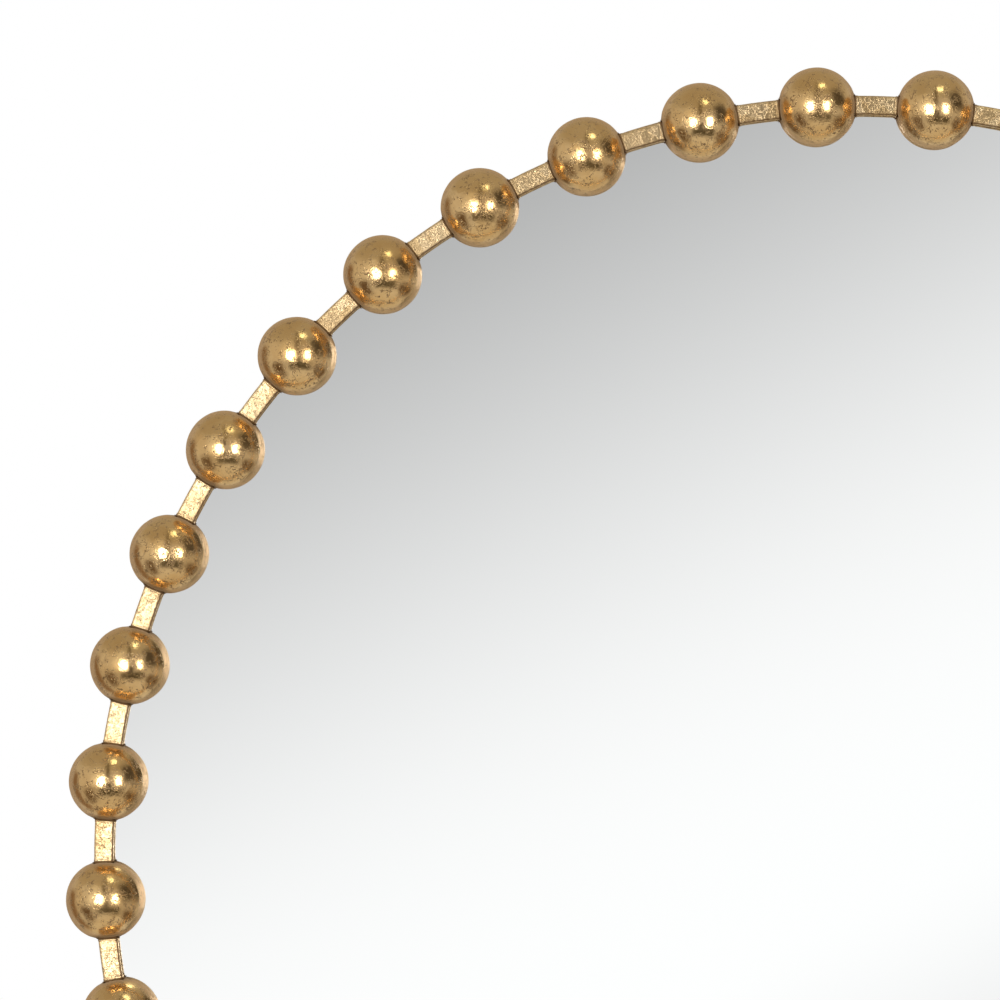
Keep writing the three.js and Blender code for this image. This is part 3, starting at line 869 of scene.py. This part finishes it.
# %% Collars where the bar enters the balls
COLLAR_SIDES = 32
SQUARENESS = 7
COLLAR_SAG = 0.12 * MM
COLLAR_RIPPLE = 0.06 * MM
OVER_BALL = 0.1 * MM
FOOT_HEIGHT = 0.2 * MM  # loops lower than this follow the ball
ROOT_DEPTH = 1.2 * MM
COLLAR = (  # half width, and distance out from where the bar's flat meets the ball
    (4.8 * MM, 1.4 * MM),
    (5.05 * MM, 1.4 * MM),
    (5.26 * MM, 1.25 * MM),
    (5.34 * MM, 0.95 * MM),
    (5.26 * MM, 0.6 * MM),
    (5.3 * MM, 0.3 * MM),
    (5.75 * MM, 0.05 * MM),
    (6.1 * MM, -0.1 * MM),
)


def squared_loop(bm, half_width):
    """A ring of edges in the Y-Z plane, between a circle and a square."""
    made = bmesh.ops.create_circle(bm, segments=COLLAR_SIDES, radius=1.0)["verts"]
    for vert in made:
        x, y = vert.co.x, vert.co.y
        reach = half_width * (abs(x) ** SQUARENESS + abs(y) ** SQUARENESS) ** (-1 / SQUARENESS)
        vert.co = (0, x * reach, y * reach)
    return made


def ring_edges(verts):
    """The edges that join the points of one ring."""
    touching = {edge for vert in verts for edge in vert.link_edges}
    return [edge for edge in touching if set(edge.verts) <= set(verts)]


def collar(side):
    """One collar on the bar's line through a ball at the origin."""
    bm = bmesh.new()
    foot = math.sqrt(ball_radius**2 - (bar_width / 2) ** 2)
    loops = []
    for half_width, distance in COLLAR:
        loop = squared_loop(bm, half_width)
        for vert in loop:
            spread = math.hypot(vert.co.y, vert.co.z)
            over_ball = math.sqrt((ball_radius + OVER_BALL) ** 2 - spread**2)
            out = max(foot + distance, over_ball) if distance < FOOT_HEIGHT else foot + distance
            vert.co.x = side * out
            vert.co.z -= bar_bow
        loops.append(loop)
    inner = squared_loop(bm, COLLAR[0][0])
    for vert in inner:
        vert.co.x = side * (foot - ROOT_DEPTH)
        vert.co.z -= bar_bow
    loops.append(inner)
    for loop, following in zip(loops, loops[1:] + loops[:1]):
        bmesh.ops.bridge_loops(bm, edges=ring_edges(loop) + ring_edges(following))
    bmesh.ops.recalc_face_normals(bm, faces=bm.faces[:])
    return bm


def braze_collars():
    for label, side in (("a", 1), ("b", -1)):
        bm = carried(collar(side), ball_places())
        uneven(bm, COLLAR_SAG, COLLAR_RIPPLE)
        piece = finished(f"brazed_collars_{label}", bm, gilt_bar, crease=80)
        print(piece.name, len(piece.data.polygons), "faces")


braze_collars()

# %% [markdown]
# ## Rim
#
# The rim is a hoop of angle section. Its outline is an L with its arrises broken, spun round the
# mirror's middle: one leg stands round the glass and the board, and the lip covers the glass's edge.

# %% Angle-section rim and the tacks behind the balls
RIM_SHEET = 1.5 * MM
LIP_HIDE = 2 * MM
RIM_ARRIS = 0.35 * MM
RIM_STEPS = 240
TACK_RADIUS = 3.1 * MM
TACK_ROOT = 0.5 * MM  # sunk into the ball's wall, where it is narrower
TACK_TAPER = 0.4 * MM
TACK_LAP = 0.1 * MM
TACK_SPREAD = 0.5 * MM  # the foot that runs out on the lip
TACK_STEPS = 16
rim_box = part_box("rear_rim")
rim_outside = rim_box[1].x
lip_inside = hoop_radius - bar_width / 2 + LIP_HIDE
lip_front = rim_box[0].y
ball_back = hoop_y + ball_radius


def roll_rim():
    bm = bmesh.new()
    inside = rim_outside - RIM_SHEET
    back = rim_box[1].y
    corners = [
        (lip_inside, lip_front),
        (rim_outside, lip_front),
        (rim_outside, back),
        (inside, back),
        (inside, lip_front + RIM_SHEET),
        (lip_inside, lip_front + RIM_SHEET),
    ]
    outline(bm, corners, RIM_ARRIS, 2)
    spin_round(bm, (0, 1, 0), RIM_STEPS)
    return finished("gold_painted_rim", bm, gilt_rim, ["rear_rim"])


def tack():
    """A flat drop of filler between a ball's back and the lip, at three o'clock."""
    rise = TACK_RADIUS**2 / (2 * ball_radius)
    points = [
        (0, ball_back - TACK_ROOT),
        (TACK_RADIUS - TACK_TAPER, ball_back - TACK_ROOT),
        (TACK_RADIUS - TACK_LAP, ball_back - rise),
        (TACK_RADIUS, lip_front - TACK_LAP),
        (TACK_RADIUS + TACK_SPREAD, lip_front),
        (TACK_RADIUS + TACK_SPREAD - TACK_LAP, lip_front + TACK_LAP),
        (0, lip_front + TACK_LAP),
    ]
    bm = spun(points, TACK_STEPS)
    bmesh.ops.translate(bm, vec=(hoop_radius, 0, 0), verts=bm.verts[:])
    return bm


def tack_balls():
    return finished("tacks_behind_balls", carried(tack(), ball_turns), gilt_rim)


print("rim:", len(roll_rim().data.polygons), "faces; tacks:", len(tack_balls().data.polygons))

# %% [markdown]
# ## Glass and board
#
# Both are discs. A circle with a face is drawn out to its thickness, and then its two arrises are
# broken: ground on the glass, and only sanded on the board.

# %% Discs
DISC_STEPS = 240
BOARD_ARRIS = 0.5 * MM


def disc(radius, front, back, arris, segments):
    bm = bmesh.new()
    bmesh.ops.create_circle(bm, cap_ends=True, segments=DISC_STEPS, radius=radius)
    bmesh.ops.rotate(bm, cent=(0, 0, 0), matrix=Matrix.Rotation(math.radians(90), 3, "X"), verts=bm.verts[:])
    bmesh.ops.translate(bm, vec=(0, front, 0), verts=bm.verts[:])
    drawn = bmesh.ops.extrude_face_region(bm, geom=bm.faces[:])["geom"]
    bmesh.ops.translate(bm, vec=(0, back - front, 0), verts=verts_of(drawn))
    bmesh.ops.recalc_face_normals(bm, faces=bm.faces[:])
    bevel_edges(bm, sharp_edges(bm, 60), arris, segments)
    return bm


board_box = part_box("backing_board")
glass = disc(glass_radius, glass_box[0].y, glass_box[1].y, GLASS_ARRIS, 1)
finished("glass_disc", glass, silvered_glass, ["mirror_glass"], crease=20)
board = disc(board_box[1].x, board_box[0].y, board_box[1].y, BOARD_ARRIS, 2)
finished("fibre_board_disc", board, fibre_board, ["backing_board"])
print(f"glass {glass_radius / MM:.1f} mm in radius, board {board_box[1].x / MM:.1f} mm")

# %% [markdown]
# ## Tabs
#
# A tab is a strip of sheet steel with one bend. A straight edge is drawn along the rim, spun through
# the bend, and drawn on over the board. Then the strip gets its thickness, its corners are rounded
# and its arrises are broken.

# %% Angle tabs
TAB_SHEET = 1.2 * MM
TAB_WIDTH = 14 * MM
TAB_REACH = 18 * MM
TAB_CORNER = 2.5 * MM
TAB_ARRIS = 0.15 * MM
FIT_GAP = 0.3 * MM
tab_nodes = sorted(name for name in frame["nodes"] if name.startswith("board_tab_"))
screw_nodes = sorted(name for name in frame["nodes"] if name.startswith("tab_screw_"))
board_back = board_box[1].y
tab_outside = rim_outside - RIM_SHEET - FIT_GAP
tab_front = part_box(tab_nodes[0])[0].y


def drawn_edge(bm, edges, move):
    """Draws edges out by a move and returns the new ones."""
    made = bmesh.ops.extrude_edge_only(bm, edges=edges)["geom"]
    bmesh.ops.translate(bm, vec=move, verts=verts_of(made))
    return edges_of(made)


def bent_edge(bm, edges, centre, axis, degrees, steps):
    """Spins edges round a bend and returns the last ones."""
    geometry = edges + list({vert for edge in edges for vert in edge.verts})
    made = bmesh.ops.spin(
        bm, geom=geometry, cent=centre, axis=axis, angle=math.radians(degrees), steps=steps
    )["geom_last"]
    return edges_of(made)


def bent_tab():
    bm = bmesh.new()
    inner = TAB_SHEET  # inner radius of the bend
    skin = tab_outside
    foot = board_back + FIT_GAP + TAB_SHEET
    low = bm.verts.new((skin, tab_front, -TAB_WIDTH / 2))
    high = bm.verts.new((skin, tab_front, TAB_WIDTH / 2))
    edge = [bm.edges.new((low, high))]
    bend = inner + TAB_SHEET
    edge = drawn_edge(bm, edge, (0, foot - bend - tab_front, 0))
    edge = bent_edge(bm, edge, (skin - bend, foot - bend, 0), (0, 0, 1), 90, 6)
    drawn_edge(bm, edge, (bend - TAB_REACH, 0, 0))
    tidy(bm)
    toe = min(vert.co.x for vert in bm.verts)
    corners = [vert for vert in bm.verts if vert.co.x < toe + 0.01 * MM]
    bevel_corners(bm, corners, TAB_CORNER, 5)
    return bm


def thickened(bm, thickness, towards):
    """Gives a skin its wall on the side that a point lies on."""
    face = bm.faces[:][0]
    if face.normal.dot(Vector(towards) - face.calc_center_median()) < 0:
        bmesh.ops.reverse_faces(bm, faces=bm.faces[:])
    bmesh.ops.solidify(bm, geom=bm.faces[:], thickness=-thickness)
    bmesh.ops.recalc_face_normals(bm, faces=bm.faces[:])


def angle_of(node):
    spot = middle(node)
    return math.atan2(spot.z, spot.x)


def fit_tabs():
    for node in tab_nodes:
        bm = bent_tab()
        thickened(bm, TAB_SHEET, (0, board_back, 0))
        bevel_edges(bm, sharp_edges(bm, 60), TAB_ARRIS, 2)
        bmesh.ops.transform(bm, matrix=at_angle(angle_of(node)), verts=bm.verts[:])
        finished("angle_" + node, bm, zinc_steel, [node])
    print(len(tab_nodes), "tabs")


fit_tabs()

# %% [markdown]
# ## Screws
#
# A screw is an outline that is spun, with a cross cut in its head. The cross is two tapered bars
# that a Boolean modifier takes away. The pan heads hold the tabs, and the flat heads sit flush in
# the straps so that a ring can swing over them.

# %% Screws with a cross in the head
SCREW_STEPS = 40
SHANK_RADIUS = 1.75 * MM
HEAD_RADIUS = 3.5 * MM
CROSS_LENGTH = 3.6 * MM
CROSS_WIDTH = 0.9 * MM
CROSS_DEPTH = 1.3 * MM
CROSS_FOOT_LENGTH = 0.5  # the foot's share of the length and the width at the top
CROSS_FOOT_WIDTH = 0.8
TAB_CROSS_TURN = 3  # a screw stops where it is tight, so each cross is turned by its own amount
STRAP_CROSS_TURN = 9


def pan_head(box):
    back = box[1].y
    seat = board_back + FIT_GAP + TAB_SHEET + FIT_GAP
    return [
        (0, box[0].y),
        (SHANK_RADIUS, box[0].y + SHANK_RADIUS),
        (SHANK_RADIUS, seat),
        (HEAD_RADIUS - 0.2 * MM, seat),
        (HEAD_RADIUS, seat + 0.2 * MM),
        (HEAD_RADIUS, seat + 0.8 * MM),
        (HEAD_RADIUS - 0.2 * MM, seat + 1.25 * MM),
        (HEAD_RADIUS - 0.7 * MM, seat + 1.65 * MM),
        (HEAD_RADIUS - 1.5 * MM, back - 0.08 * MM),
        (HEAD_RADIUS - 2.4 * MM, back),
        (0, back),
    ]


def flat_head(box):
    back = box[1].y
    cone = HEAD_RADIUS - SHANK_RADIUS
    return [
        (0, box[0].y),
        (SHANK_RADIUS, box[0].y + SHANK_RADIUS),
        (SHANK_RADIUS, back - cone),
        (HEAD_RADIUS, back - 0.15 * MM),
        (HEAD_RADIUS - 0.1 * MM, back),
        (0, back),
    ]


def cross_cutter(back):
    """Two bars across each other, narrower at the foot, as an object that cuts."""
    bm = bmesh.new()
    for turn in (0, 90):
        bar = bmesh.ops.create_cube(bm, size=1.0)["verts"]
        for vert in bar:
            deep = vert.co.y < 0
            vert.co.x *= CROSS_LENGTH * (CROSS_FOOT_LENGTH if deep else 1.0)
            vert.co.z *= CROSS_WIDTH * (CROSS_FOOT_WIDTH if deep else 1.0)
            vert.co.y = back - CROSS_DEPTH if deep else back + 0.1 * MM
        bmesh.ops.rotate(bm, verts=bar, cent=(0, 0, 0), matrix=Matrix.Rotation(math.radians(turn), 3, "Y"))
    return as_object("cross", bm)


def cut_by(bm, cutter):
    """Takes the cutter away from a bmesh with an exact Boolean, and returns what is left."""
    blank = as_object("blank", bm)
    for item in (blank, cutter):
        bpy.context.scene.collection.objects.link(item)
    cut = blank.modifiers.new("cut", "BOOLEAN")
    cut.object = cutter
    cut.solver = "EXACT"
    cut.use_self = True
    made = bmesh.new()
    made.from_object(blank, bpy.context.evaluated_depsgraph_get())
    for item in (blank, cutter):
        bpy.data.objects.remove(item)
    tidy(made)
    return made


def drive(node, head, turn, name):
    """Makes one screw where its solid stands, with its cross turned by an angle."""
    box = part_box(node)
    spot = middle(node)
    bm = cut_by(spun(head(box), SCREW_STEPS), cross_cutter(box[1].y))
    stand = Matrix.Translation((spot.x, 0, spot.z)) @ Matrix.Rotation(turn, 4, "Y")
    bmesh.ops.transform(bm, matrix=stand, verts=bm.verts[:])
    finished(name, bm, zinc_steel, [node], crease=30)


def drive_screws():
    for node in screw_nodes:
        drive(node, pan_head, angle_of(node) * TAB_CROSS_TURN, "pan_head_" + node)
    for side in ("left", "right"):
        node = "strap_screw_" + side
        drive(node, flat_head, middle(node).x * STRAP_CROSS_TURN, "flat_head_" + node)
    print(len(screw_nodes) + 2, "screws")


drive_screws()

# %% [markdown]
# ## Hangers
#
# A strap is one strip of sheet: it lies flat on the board, and its upper end is rolled round the
# straight side of the D-ring and back down to itself. The D-ring is a length of wire: a circle that
# is drawn along the straight sides and spun round the bends until it meets its own start.

# %% Straps
STRAP_SHEET = 1.2 * MM
STRAP_WIDTH = 14 * MM
STRAP_CORNER = 3 * MM
D_WIRE = 3 * MM
WIRE_PLAY = 0.35 * MM
ROLL_DEGREES = 292
SINK_DEPTH = 2.6 * MM


def swing_axis(side):
    joint = next(item for item in frame["joints"] if item["name"] == f"d_ring_{side}_swing")
    return Vector(joint["pos_m"])


def rolled_strap(side):
    """The strap's outer skin, from its lower end up and round the wire."""
    axis = swing_axis(side)
    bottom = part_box("hanger_strap_" + side)[0].z
    outer = D_WIRE / 2 + WIRE_PLAY + STRAP_SHEET
    front = axis.y - outer
    bm = bmesh.new()
    low = bm.verts.new((axis.x - STRAP_WIDTH / 2, front, bottom))
    high = bm.verts.new((axis.x + STRAP_WIDTH / 2, front, bottom))
    edge = [bm.edges.new((low, high))]
    edge = drawn_edge(bm, edge, (0, 0, axis.z - bottom))
    bent_edge(bm, edge, axis, (1, 0, 0), -ROLL_DEGREES, 30)
    tidy(bm)
    corners = [vert for vert in bm.verts if vert.co.z < bottom + 0.01 * MM]
    bevel_corners(bm, corners, STRAP_CORNER, 5)
    thickened(bm, STRAP_SHEET, axis)
    return bm


def sink_cutter(side):
    """The countersunk hole for the strap's screw, as an object that cuts."""
    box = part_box("strap_screw_" + side)
    spot = middle("strap_screw_" + side)
    grown = HEAD_RADIUS + FIT_GAP
    bm = bmesh.new()
    made = bmesh.ops.create_cone(
        bm, cap_ends=True, segments=40, radius1=grown, radius2=grown - SINK_DEPTH, depth=SINK_DEPTH
    )["verts"]
    bmesh.ops.rotate(bm, verts=made, cent=(0, 0, 0), matrix=Matrix.Rotation(math.radians(90), 3, "X"))
    bmesh.ops.translate(bm, verts=made, vec=(spot.x, box[1].y - SINK_DEPTH / 2 + 0.01 * MM, spot.z))
    return as_object("sink", bm)


def fit_straps():
    for side in ("left", "right"):
        bm = cut_by(rolled_strap(side), sink_cutter(side))
        name = "hanger_strap_" + side
        finished("rolled_" + name, bm, zinc_steel, [name])


fit_straps()

# %% D-rings
D_INSIDE = 20 * MM
D_LEG = 6 * MM
D_BEND = 2.4 * MM


def wire_ring(side):
    axis = swing_axis(side)
    half = (D_INSIDE + D_WIRE) / 2
    bm = bmesh.new()
    circle = bmesh.ops.create_circle(bm, segments=16, radius=D_WIRE / 2)["verts"]
    bmesh.ops.rotate(bm, verts=circle, cent=(0, 0, 0), matrix=Matrix.Rotation(math.radians(90), 3, "Y"))
    ring = list({edge for vert in circle for edge in vert.link_edges})
    to_corner = half - D_BEND
    ring = drawn_edge(bm, ring, (to_corner, 0, 0))
    ring = bent_edge(bm, ring, (to_corner, 0, -D_BEND), (0, 1, 0), 90, 8)
    ring = drawn_edge(bm, ring, (0, 0, D_BEND - D_LEG))
    ring = bent_edge(bm, ring, (0, 0, -D_LEG), (0, 1, 0), 180, 28)
    ring = drawn_edge(bm, ring, (0, 0, D_LEG - D_BEND))
    ring = bent_edge(bm, ring, (-to_corner, 0, -D_BEND), (0, 1, 0), 90, 8)
    drawn_edge(bm, ring, (to_corner, 0, 0))
    bmesh.ops.remove_doubles(bm, verts=bm.verts[:], dist=0.01 * MM)
    bmesh.ops.recalc_face_normals(bm, faces=bm.faces[:])
    bmesh.ops.translate(bm, verts=bm.verts[:], vec=axis)
    return bm


for side in ("left", "right"):
    node = "d_ring_" + side
    finished("wire_" + node, wire_ring(side), zinc_steel, [node], body=node)
print("two straps and two D-rings")

# %% [markdown]
# ## Bumpers
#
# Two moulded rubber pads keep the lower side of the back off the wall. A rounded outline is spun,
# with a flat face towards the wall.

# %% Bumpers
BUMPER_ROUNDING = 1.5 * MM
BUMPER_STEPS = 48


def moulded_bumper(node):
    low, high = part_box(node)
    spot = middle(node)
    radius = (high.z - low.z) / 2
    points = [
        (0, low.y),
        (radius - 0.3 * MM, low.y),
        (radius, low.y + 0.4 * MM),
        (radius - 0.25 * MM, high.y - BUMPER_ROUNDING),
        (radius - 0.55 * MM, high.y - 0.6 * BUMPER_ROUNDING),
        (radius - 0.95 * MM, high.y - 0.2 * BUMPER_ROUNDING),
        (radius - BUMPER_ROUNDING, high.y),
        (0, high.y),
    ]
    bm = spun(points, BUMPER_STEPS)
    bmesh.ops.translate(bm, verts=bm.verts[:], vec=(spot.x, 0, spot.z))
    return finished("rubber_" + node, bm, black_rubber, [node])


for side in ("left", "right"):
    moulded_bumper("bumper_" + side)
print("two bumpers")

# %% [markdown]
# ## Floor
#
# The mirror stands over a plain pale floor that takes its shadow and fades to white, so that it
# meets the white background without a line. The white is for the camera alone, and lights nothing.
# From below the floor is clear, because the mirror is looked at from there too. Reflections pass
# it, and show the room's own pale floor.

# %% Floor
FLOOR_SIZE = 40.0
FLOOR_COLOUR = (0.9, 0.9, 0.9, 1.0)
SHADOW_WITHIN = 0.45  # metres from the middle of the mirror
WHITE_BEYOND = 1.5
WHITE_NEAR = 0.45  # the share of white where the shadow falls
floor_z = solid_box[0].z - 1 * MM


def lay_floor():
    bm = bmesh.new()
    bmesh.ops.create_grid(bm, x_segments=1, y_segments=1, size=FLOOR_SIZE / 2)
    bmesh.ops.translate(bm, verts=bm.verts[:], vec=(0, 0, floor_z))
    floor = as_object("floor", bm)
    material = bpy.data.materials.new("pale_floor")
    material.use_nodes = True
    tree = material.node_tree
    tree.nodes.clear()
    position = place(tree, "ShaderNodeTexCoord").outputs["Object"]
    away = place(tree, "ShaderNodeVectorMath", {0: position}, operation="LENGTH").outputs["Value"]
    pale = place(tree, "ShaderNodeBsdfDiffuse", {"Color": FLOOR_COLOUR})
    to_camera = place(tree, "ShaderNodeLightPath").outputs["Is Camera Ray"]
    white = place(tree, "ShaderNodeEmission", {"Strength": to_camera})
    clear = place(tree, "ShaderNodeBsdfTransparent")
    whiteness = ramp(tree, away, SHADOW_WITHIN, WHITE_BEYOND, WHITE_NEAR)
    far = place(tree, "ShaderNodeMixShader", {0: whiteness, 1: pale.outputs[0]})
    tree.links.new(white.outputs[0], far.inputs[2])
    from_below = place(tree, "ShaderNodeNewGeometry").outputs["Backfacing"]
    under = place(tree, "ShaderNodeMixShader", {0: from_below})
    tree.links.new(far.outputs[0], under.inputs[1])
    tree.links.new(clear.outputs[0], under.inputs[2])
    out = place(tree, "ShaderNodeOutputMaterial")
    tree.links.new(under.outputs[0], out.inputs["Surface"])
    floor.data.materials.append(material)
    floor.visible_glossy = False
    bpy.context.scene.collection.objects.link(floor)


lay_floor()

# %% [markdown]
# ## Room
#
# Polished metal shows the room it stands in, so the room matters as much as the lamps. The world
# paints it by direction: a mid-grey room with a bright wall on the left, a dark corner on the right,
# dark strips above and below the camera, a pale floor and white behind the mirror. The strip above
# keeps the level stretches of the bar darker than the upright ones. Only reflections see the room.
# The camera sees plain white, and matt surfaces get one even grey. Straight behind the camera hangs a
# card that runs from grey to white, which is what the glass shows.

# %% World
AMBIENT = 0.5
ROOM_GREY = (0.52, 0.51, 0.50)
WINDOWS = (  # azimuth from and to, elevation from and to, in degrees; soft edge; colour
    (-200, 200, 30, 95, 12, (0.40, 0.37, 0.31)),  # the ceiling
    (-95, -35, -14, 32, 10, (0.59, 0.57, 0.54)),  # the left wall
    (-48, -22, -8, 16, 10, (0.95, 0.93, 0.9)),  # a bright patch on it
    (-28, 42, -12, 24, 8, (0.43, 0.42, 0.44)),  # the wall behind the camera
    (-46, -15, 16, 42, 8, (0.66, 0.64, 0.58)),  # light above the left soft box
    (48, 92, -2, 42, 10, (0.07, 0.06, 0.05)),  # the dark corner on the right
    (-26, 48, -40, -19, 4, (0.07, 0.06, 0.04)),  # the dark foot of the wall
    (-80, -46, -55, -16, 8, (0.12, 0.08, 0.05)),  # dark places low on the left
    (-128, -100, -60, 15, 6, (0.22, 0.15, 0.10)),  # and farther round
    (62, 105, -48, -22, 8, (0.12, 0.08, 0.05)),  # a dark place low on the right
    (-32, 72, -70, -43, 2, (0.62, 0.61, 0.59)),  # the lit floor in front
    (-200, 200, -95, -60, 6, (0.60, 0.57, 0.51)),  # the floor
    (-2, 10, -20, -3, 3, (0.05, 0.04, 0.03)),  # the strip below the camera
    (-6, 6, 12, 75, 3, (0.10, 0.08, 0.05)),  # the strip above it
)
CARD_REACH = 1.9
GREY_AT_MIDDLE = 0.861  # of the picture; the next two are its rise over a picture's width
GREY_TO_RIGHT = 0.2745
GREY_DOWNWARDS = 0.529
CARD_EDGE = 0.4
WHITE_SOFTNESS = 0.2
FADE_FROM = 1.17  # far down and to the right the card darkens a little again
FADE_FULL = 1.4
FADE_DEPTH = 0.12
SCREEN_POWER = 2.2
WHITE_BEHIND = (160, 170)  # degrees off the camera's side, where the white begins and is full


def window(tree, azimuth, elevation, limits):
    """A mask that is 1 inside a range of directions, with soft edges."""
    west, east, low, high, soft, _ = limits
    mask = sum_of(tree, "MULTIPLY", ramp(tree, azimuth, west - soft, west + soft),
                  ramp(tree, azimuth, east + soft, east - soft))
    upright = sum_of(tree, "MULTIPLY", ramp(tree, elevation, low - soft, low + soft),
                     ramp(tree, elevation, high + soft, high - soft))
    return sum_of(tree, "MULTIPLY", mask, upright)


def card_grey(tree, split):
    """The grey card, even to the eye: a straight ramp, raised to the power of a screen."""
    per_direction = CAMERA_DISTANCE / picture_width
    level = sum_of(tree, "MULTIPLY_ADD", split["X"], per_direction * GREY_TO_RIGHT, GREY_AT_MIDDLE)
    level = sum_of(tree, "MULTIPLY_ADD", split["Z"], -per_direction * GREY_DOWNWARDS, level)
    faded = ramp(tree, level, FADE_FROM, FADE_FULL, 0.0, FADE_DEPTH)
    level = sum_of(tree, "SMOOTH_MIN", level, 1.0, WHITE_SOFTNESS)
    level = sum_of(tree, "SUBTRACT", level, faded)
    return sum_of(tree, "DIVIDE", sum_of(tree, "POWER", level, SCREEN_POWER), SILVER[1])


def paint_world():
    world = bpy.data.worlds.new("studio")
    bpy.context.scene.world = world
    world.use_nodes = True
    world.cycles.sampling_method = "NONE"
    tree = world.node_tree
    tree.nodes.clear()
    direction = place(tree, "ShaderNodeTexCoord").outputs["Generated"]
    split = place(tree, "ShaderNodeSeparateXYZ", {"Vector": direction}).outputs
    degree = math.degrees(1)
    forwards = sum_of(tree, "MULTIPLY", split["Y"], -1.0)
    azimuth = sum_of(tree, "MULTIPLY", sum_of(tree, "ARCTAN2", split["X"], forwards), degree)
    elevation = sum_of(tree, "MULTIPLY", sum_of(tree, "ARCSINE", split["Z"]), degree)
    room = ROOM_GREY
    for limits in WINDOWS:
        room = blended(tree, window(tree, azimuth, elevation, limits), room, limits[-1])
    off_axis = sum_of(tree, "MULTIPLY", sum_of(tree, "ARCCOSINE", forwards), degree)
    grey = card_grey(tree, split)
    card = place(tree, "ShaderNodeCombineColor", {"Red": grey, "Green": grey, "Blue": grey}).outputs[0]
    room = blended(tree, ramp(tree, off_axis, CARD_REACH + CARD_EDGE, CARD_REACH), room, card)
    room = blended(tree, ramp(tree, off_axis, *WHITE_BEHIND), room, (1.0, 1.0, 1.0))
    path = place(tree, "ShaderNodeLightPath").outputs
    colour = blended(tree, path["Is Glossy Ray"], (AMBIENT, AMBIENT, AMBIENT), room)
    seen = sum_of(tree, "MAXIMUM", path["Is Camera Ray"], path["Is Transmission Ray"])
    colour = blended(tree, seen, colour, (1.0, 1.0, 1.0))
    sky = place(tree, "ShaderNodeBackground", {"Color": colour, "Strength": 1.0})
    out = place(tree, "ShaderNodeOutputWorld")
    tree.links.new(sky.outputs[0], out.inputs["Surface"])


paint_world()

# %% [markdown]
# ## Lamps
#
# Two soft boxes stand left and right of the camera, and a small lamp hangs high on the right. Each
# shows in every ball at the same place, so they stand far off. Behind the mirror a plain fill lights
# the back. It is kept out of reflections, and no lamp shows to the camera.

# %% Lamps
LAMP_DISTANCE = 9.0
LAMPS = (  # name, azimuth, elevation, width and height in degrees, brightness, colour
    ("left_soft_box", -19.5, 2.5, 17, 23, 8.6, (1.0, 0.99, 0.97)),
    ("right_soft_box", 29.5, 4.0, 14, 21, 7.2, (1.0, 0.98, 0.93)),
    ("high_lamp", 27.0, 62.0, 12, 12, 2.2, (0.95, 1.0, 0.78)),
    ("back_fill", 160.0, 30.0, 40, 40, 1.2, (1.0, 1.0, 1.0)),
)
WATTS_PER_AREA = 4.0


def towards(azimuth, elevation):
    """The direction at an azimuth to the right of the camera's side and an elevation."""
    a, e = math.radians(azimuth), math.radians(elevation)
    return Vector((math.sin(a) * math.cos(e), -math.cos(a) * math.cos(e), math.sin(e)))


def hang_lamps():
    for name, azimuth, elevation, wide, high, bright, colour in LAMPS:
        data = bpy.data.lights.new(name, "AREA")
        data.shape = "RECTANGLE"
        data.size = 2 * LAMP_DISTANCE * math.tan(math.radians(wide / 2))
        data.size_y = 2 * LAMP_DISTANCE * math.tan(math.radians(high / 2))
        data.energy = bright * WATTS_PER_AREA * data.size * data.size_y
        data.color = colour
        lamp = bpy.data.objects.new(name, data)
        lamp.location = towards(azimuth, elevation) * LAMP_DISTANCE
        lamp.rotation_euler = towards(azimuth, elevation).to_track_quat("Z", "Y").to_euler()
        lamp.visible_camera = False
        lamp.visible_glossy = name != "back_fill"
        bpy.context.scene.collection.objects.link(lamp)
        print(f"{name}: {data.size:.2f} x {data.size_y:.2f} m, {data.energy:.0f} W")


hang_lamps()

# %% [markdown]
# ## View
#
# The Standard view shows each colour as it is written.

# %% View
bpy.context.scene.view_settings.view_transform = "Standard"
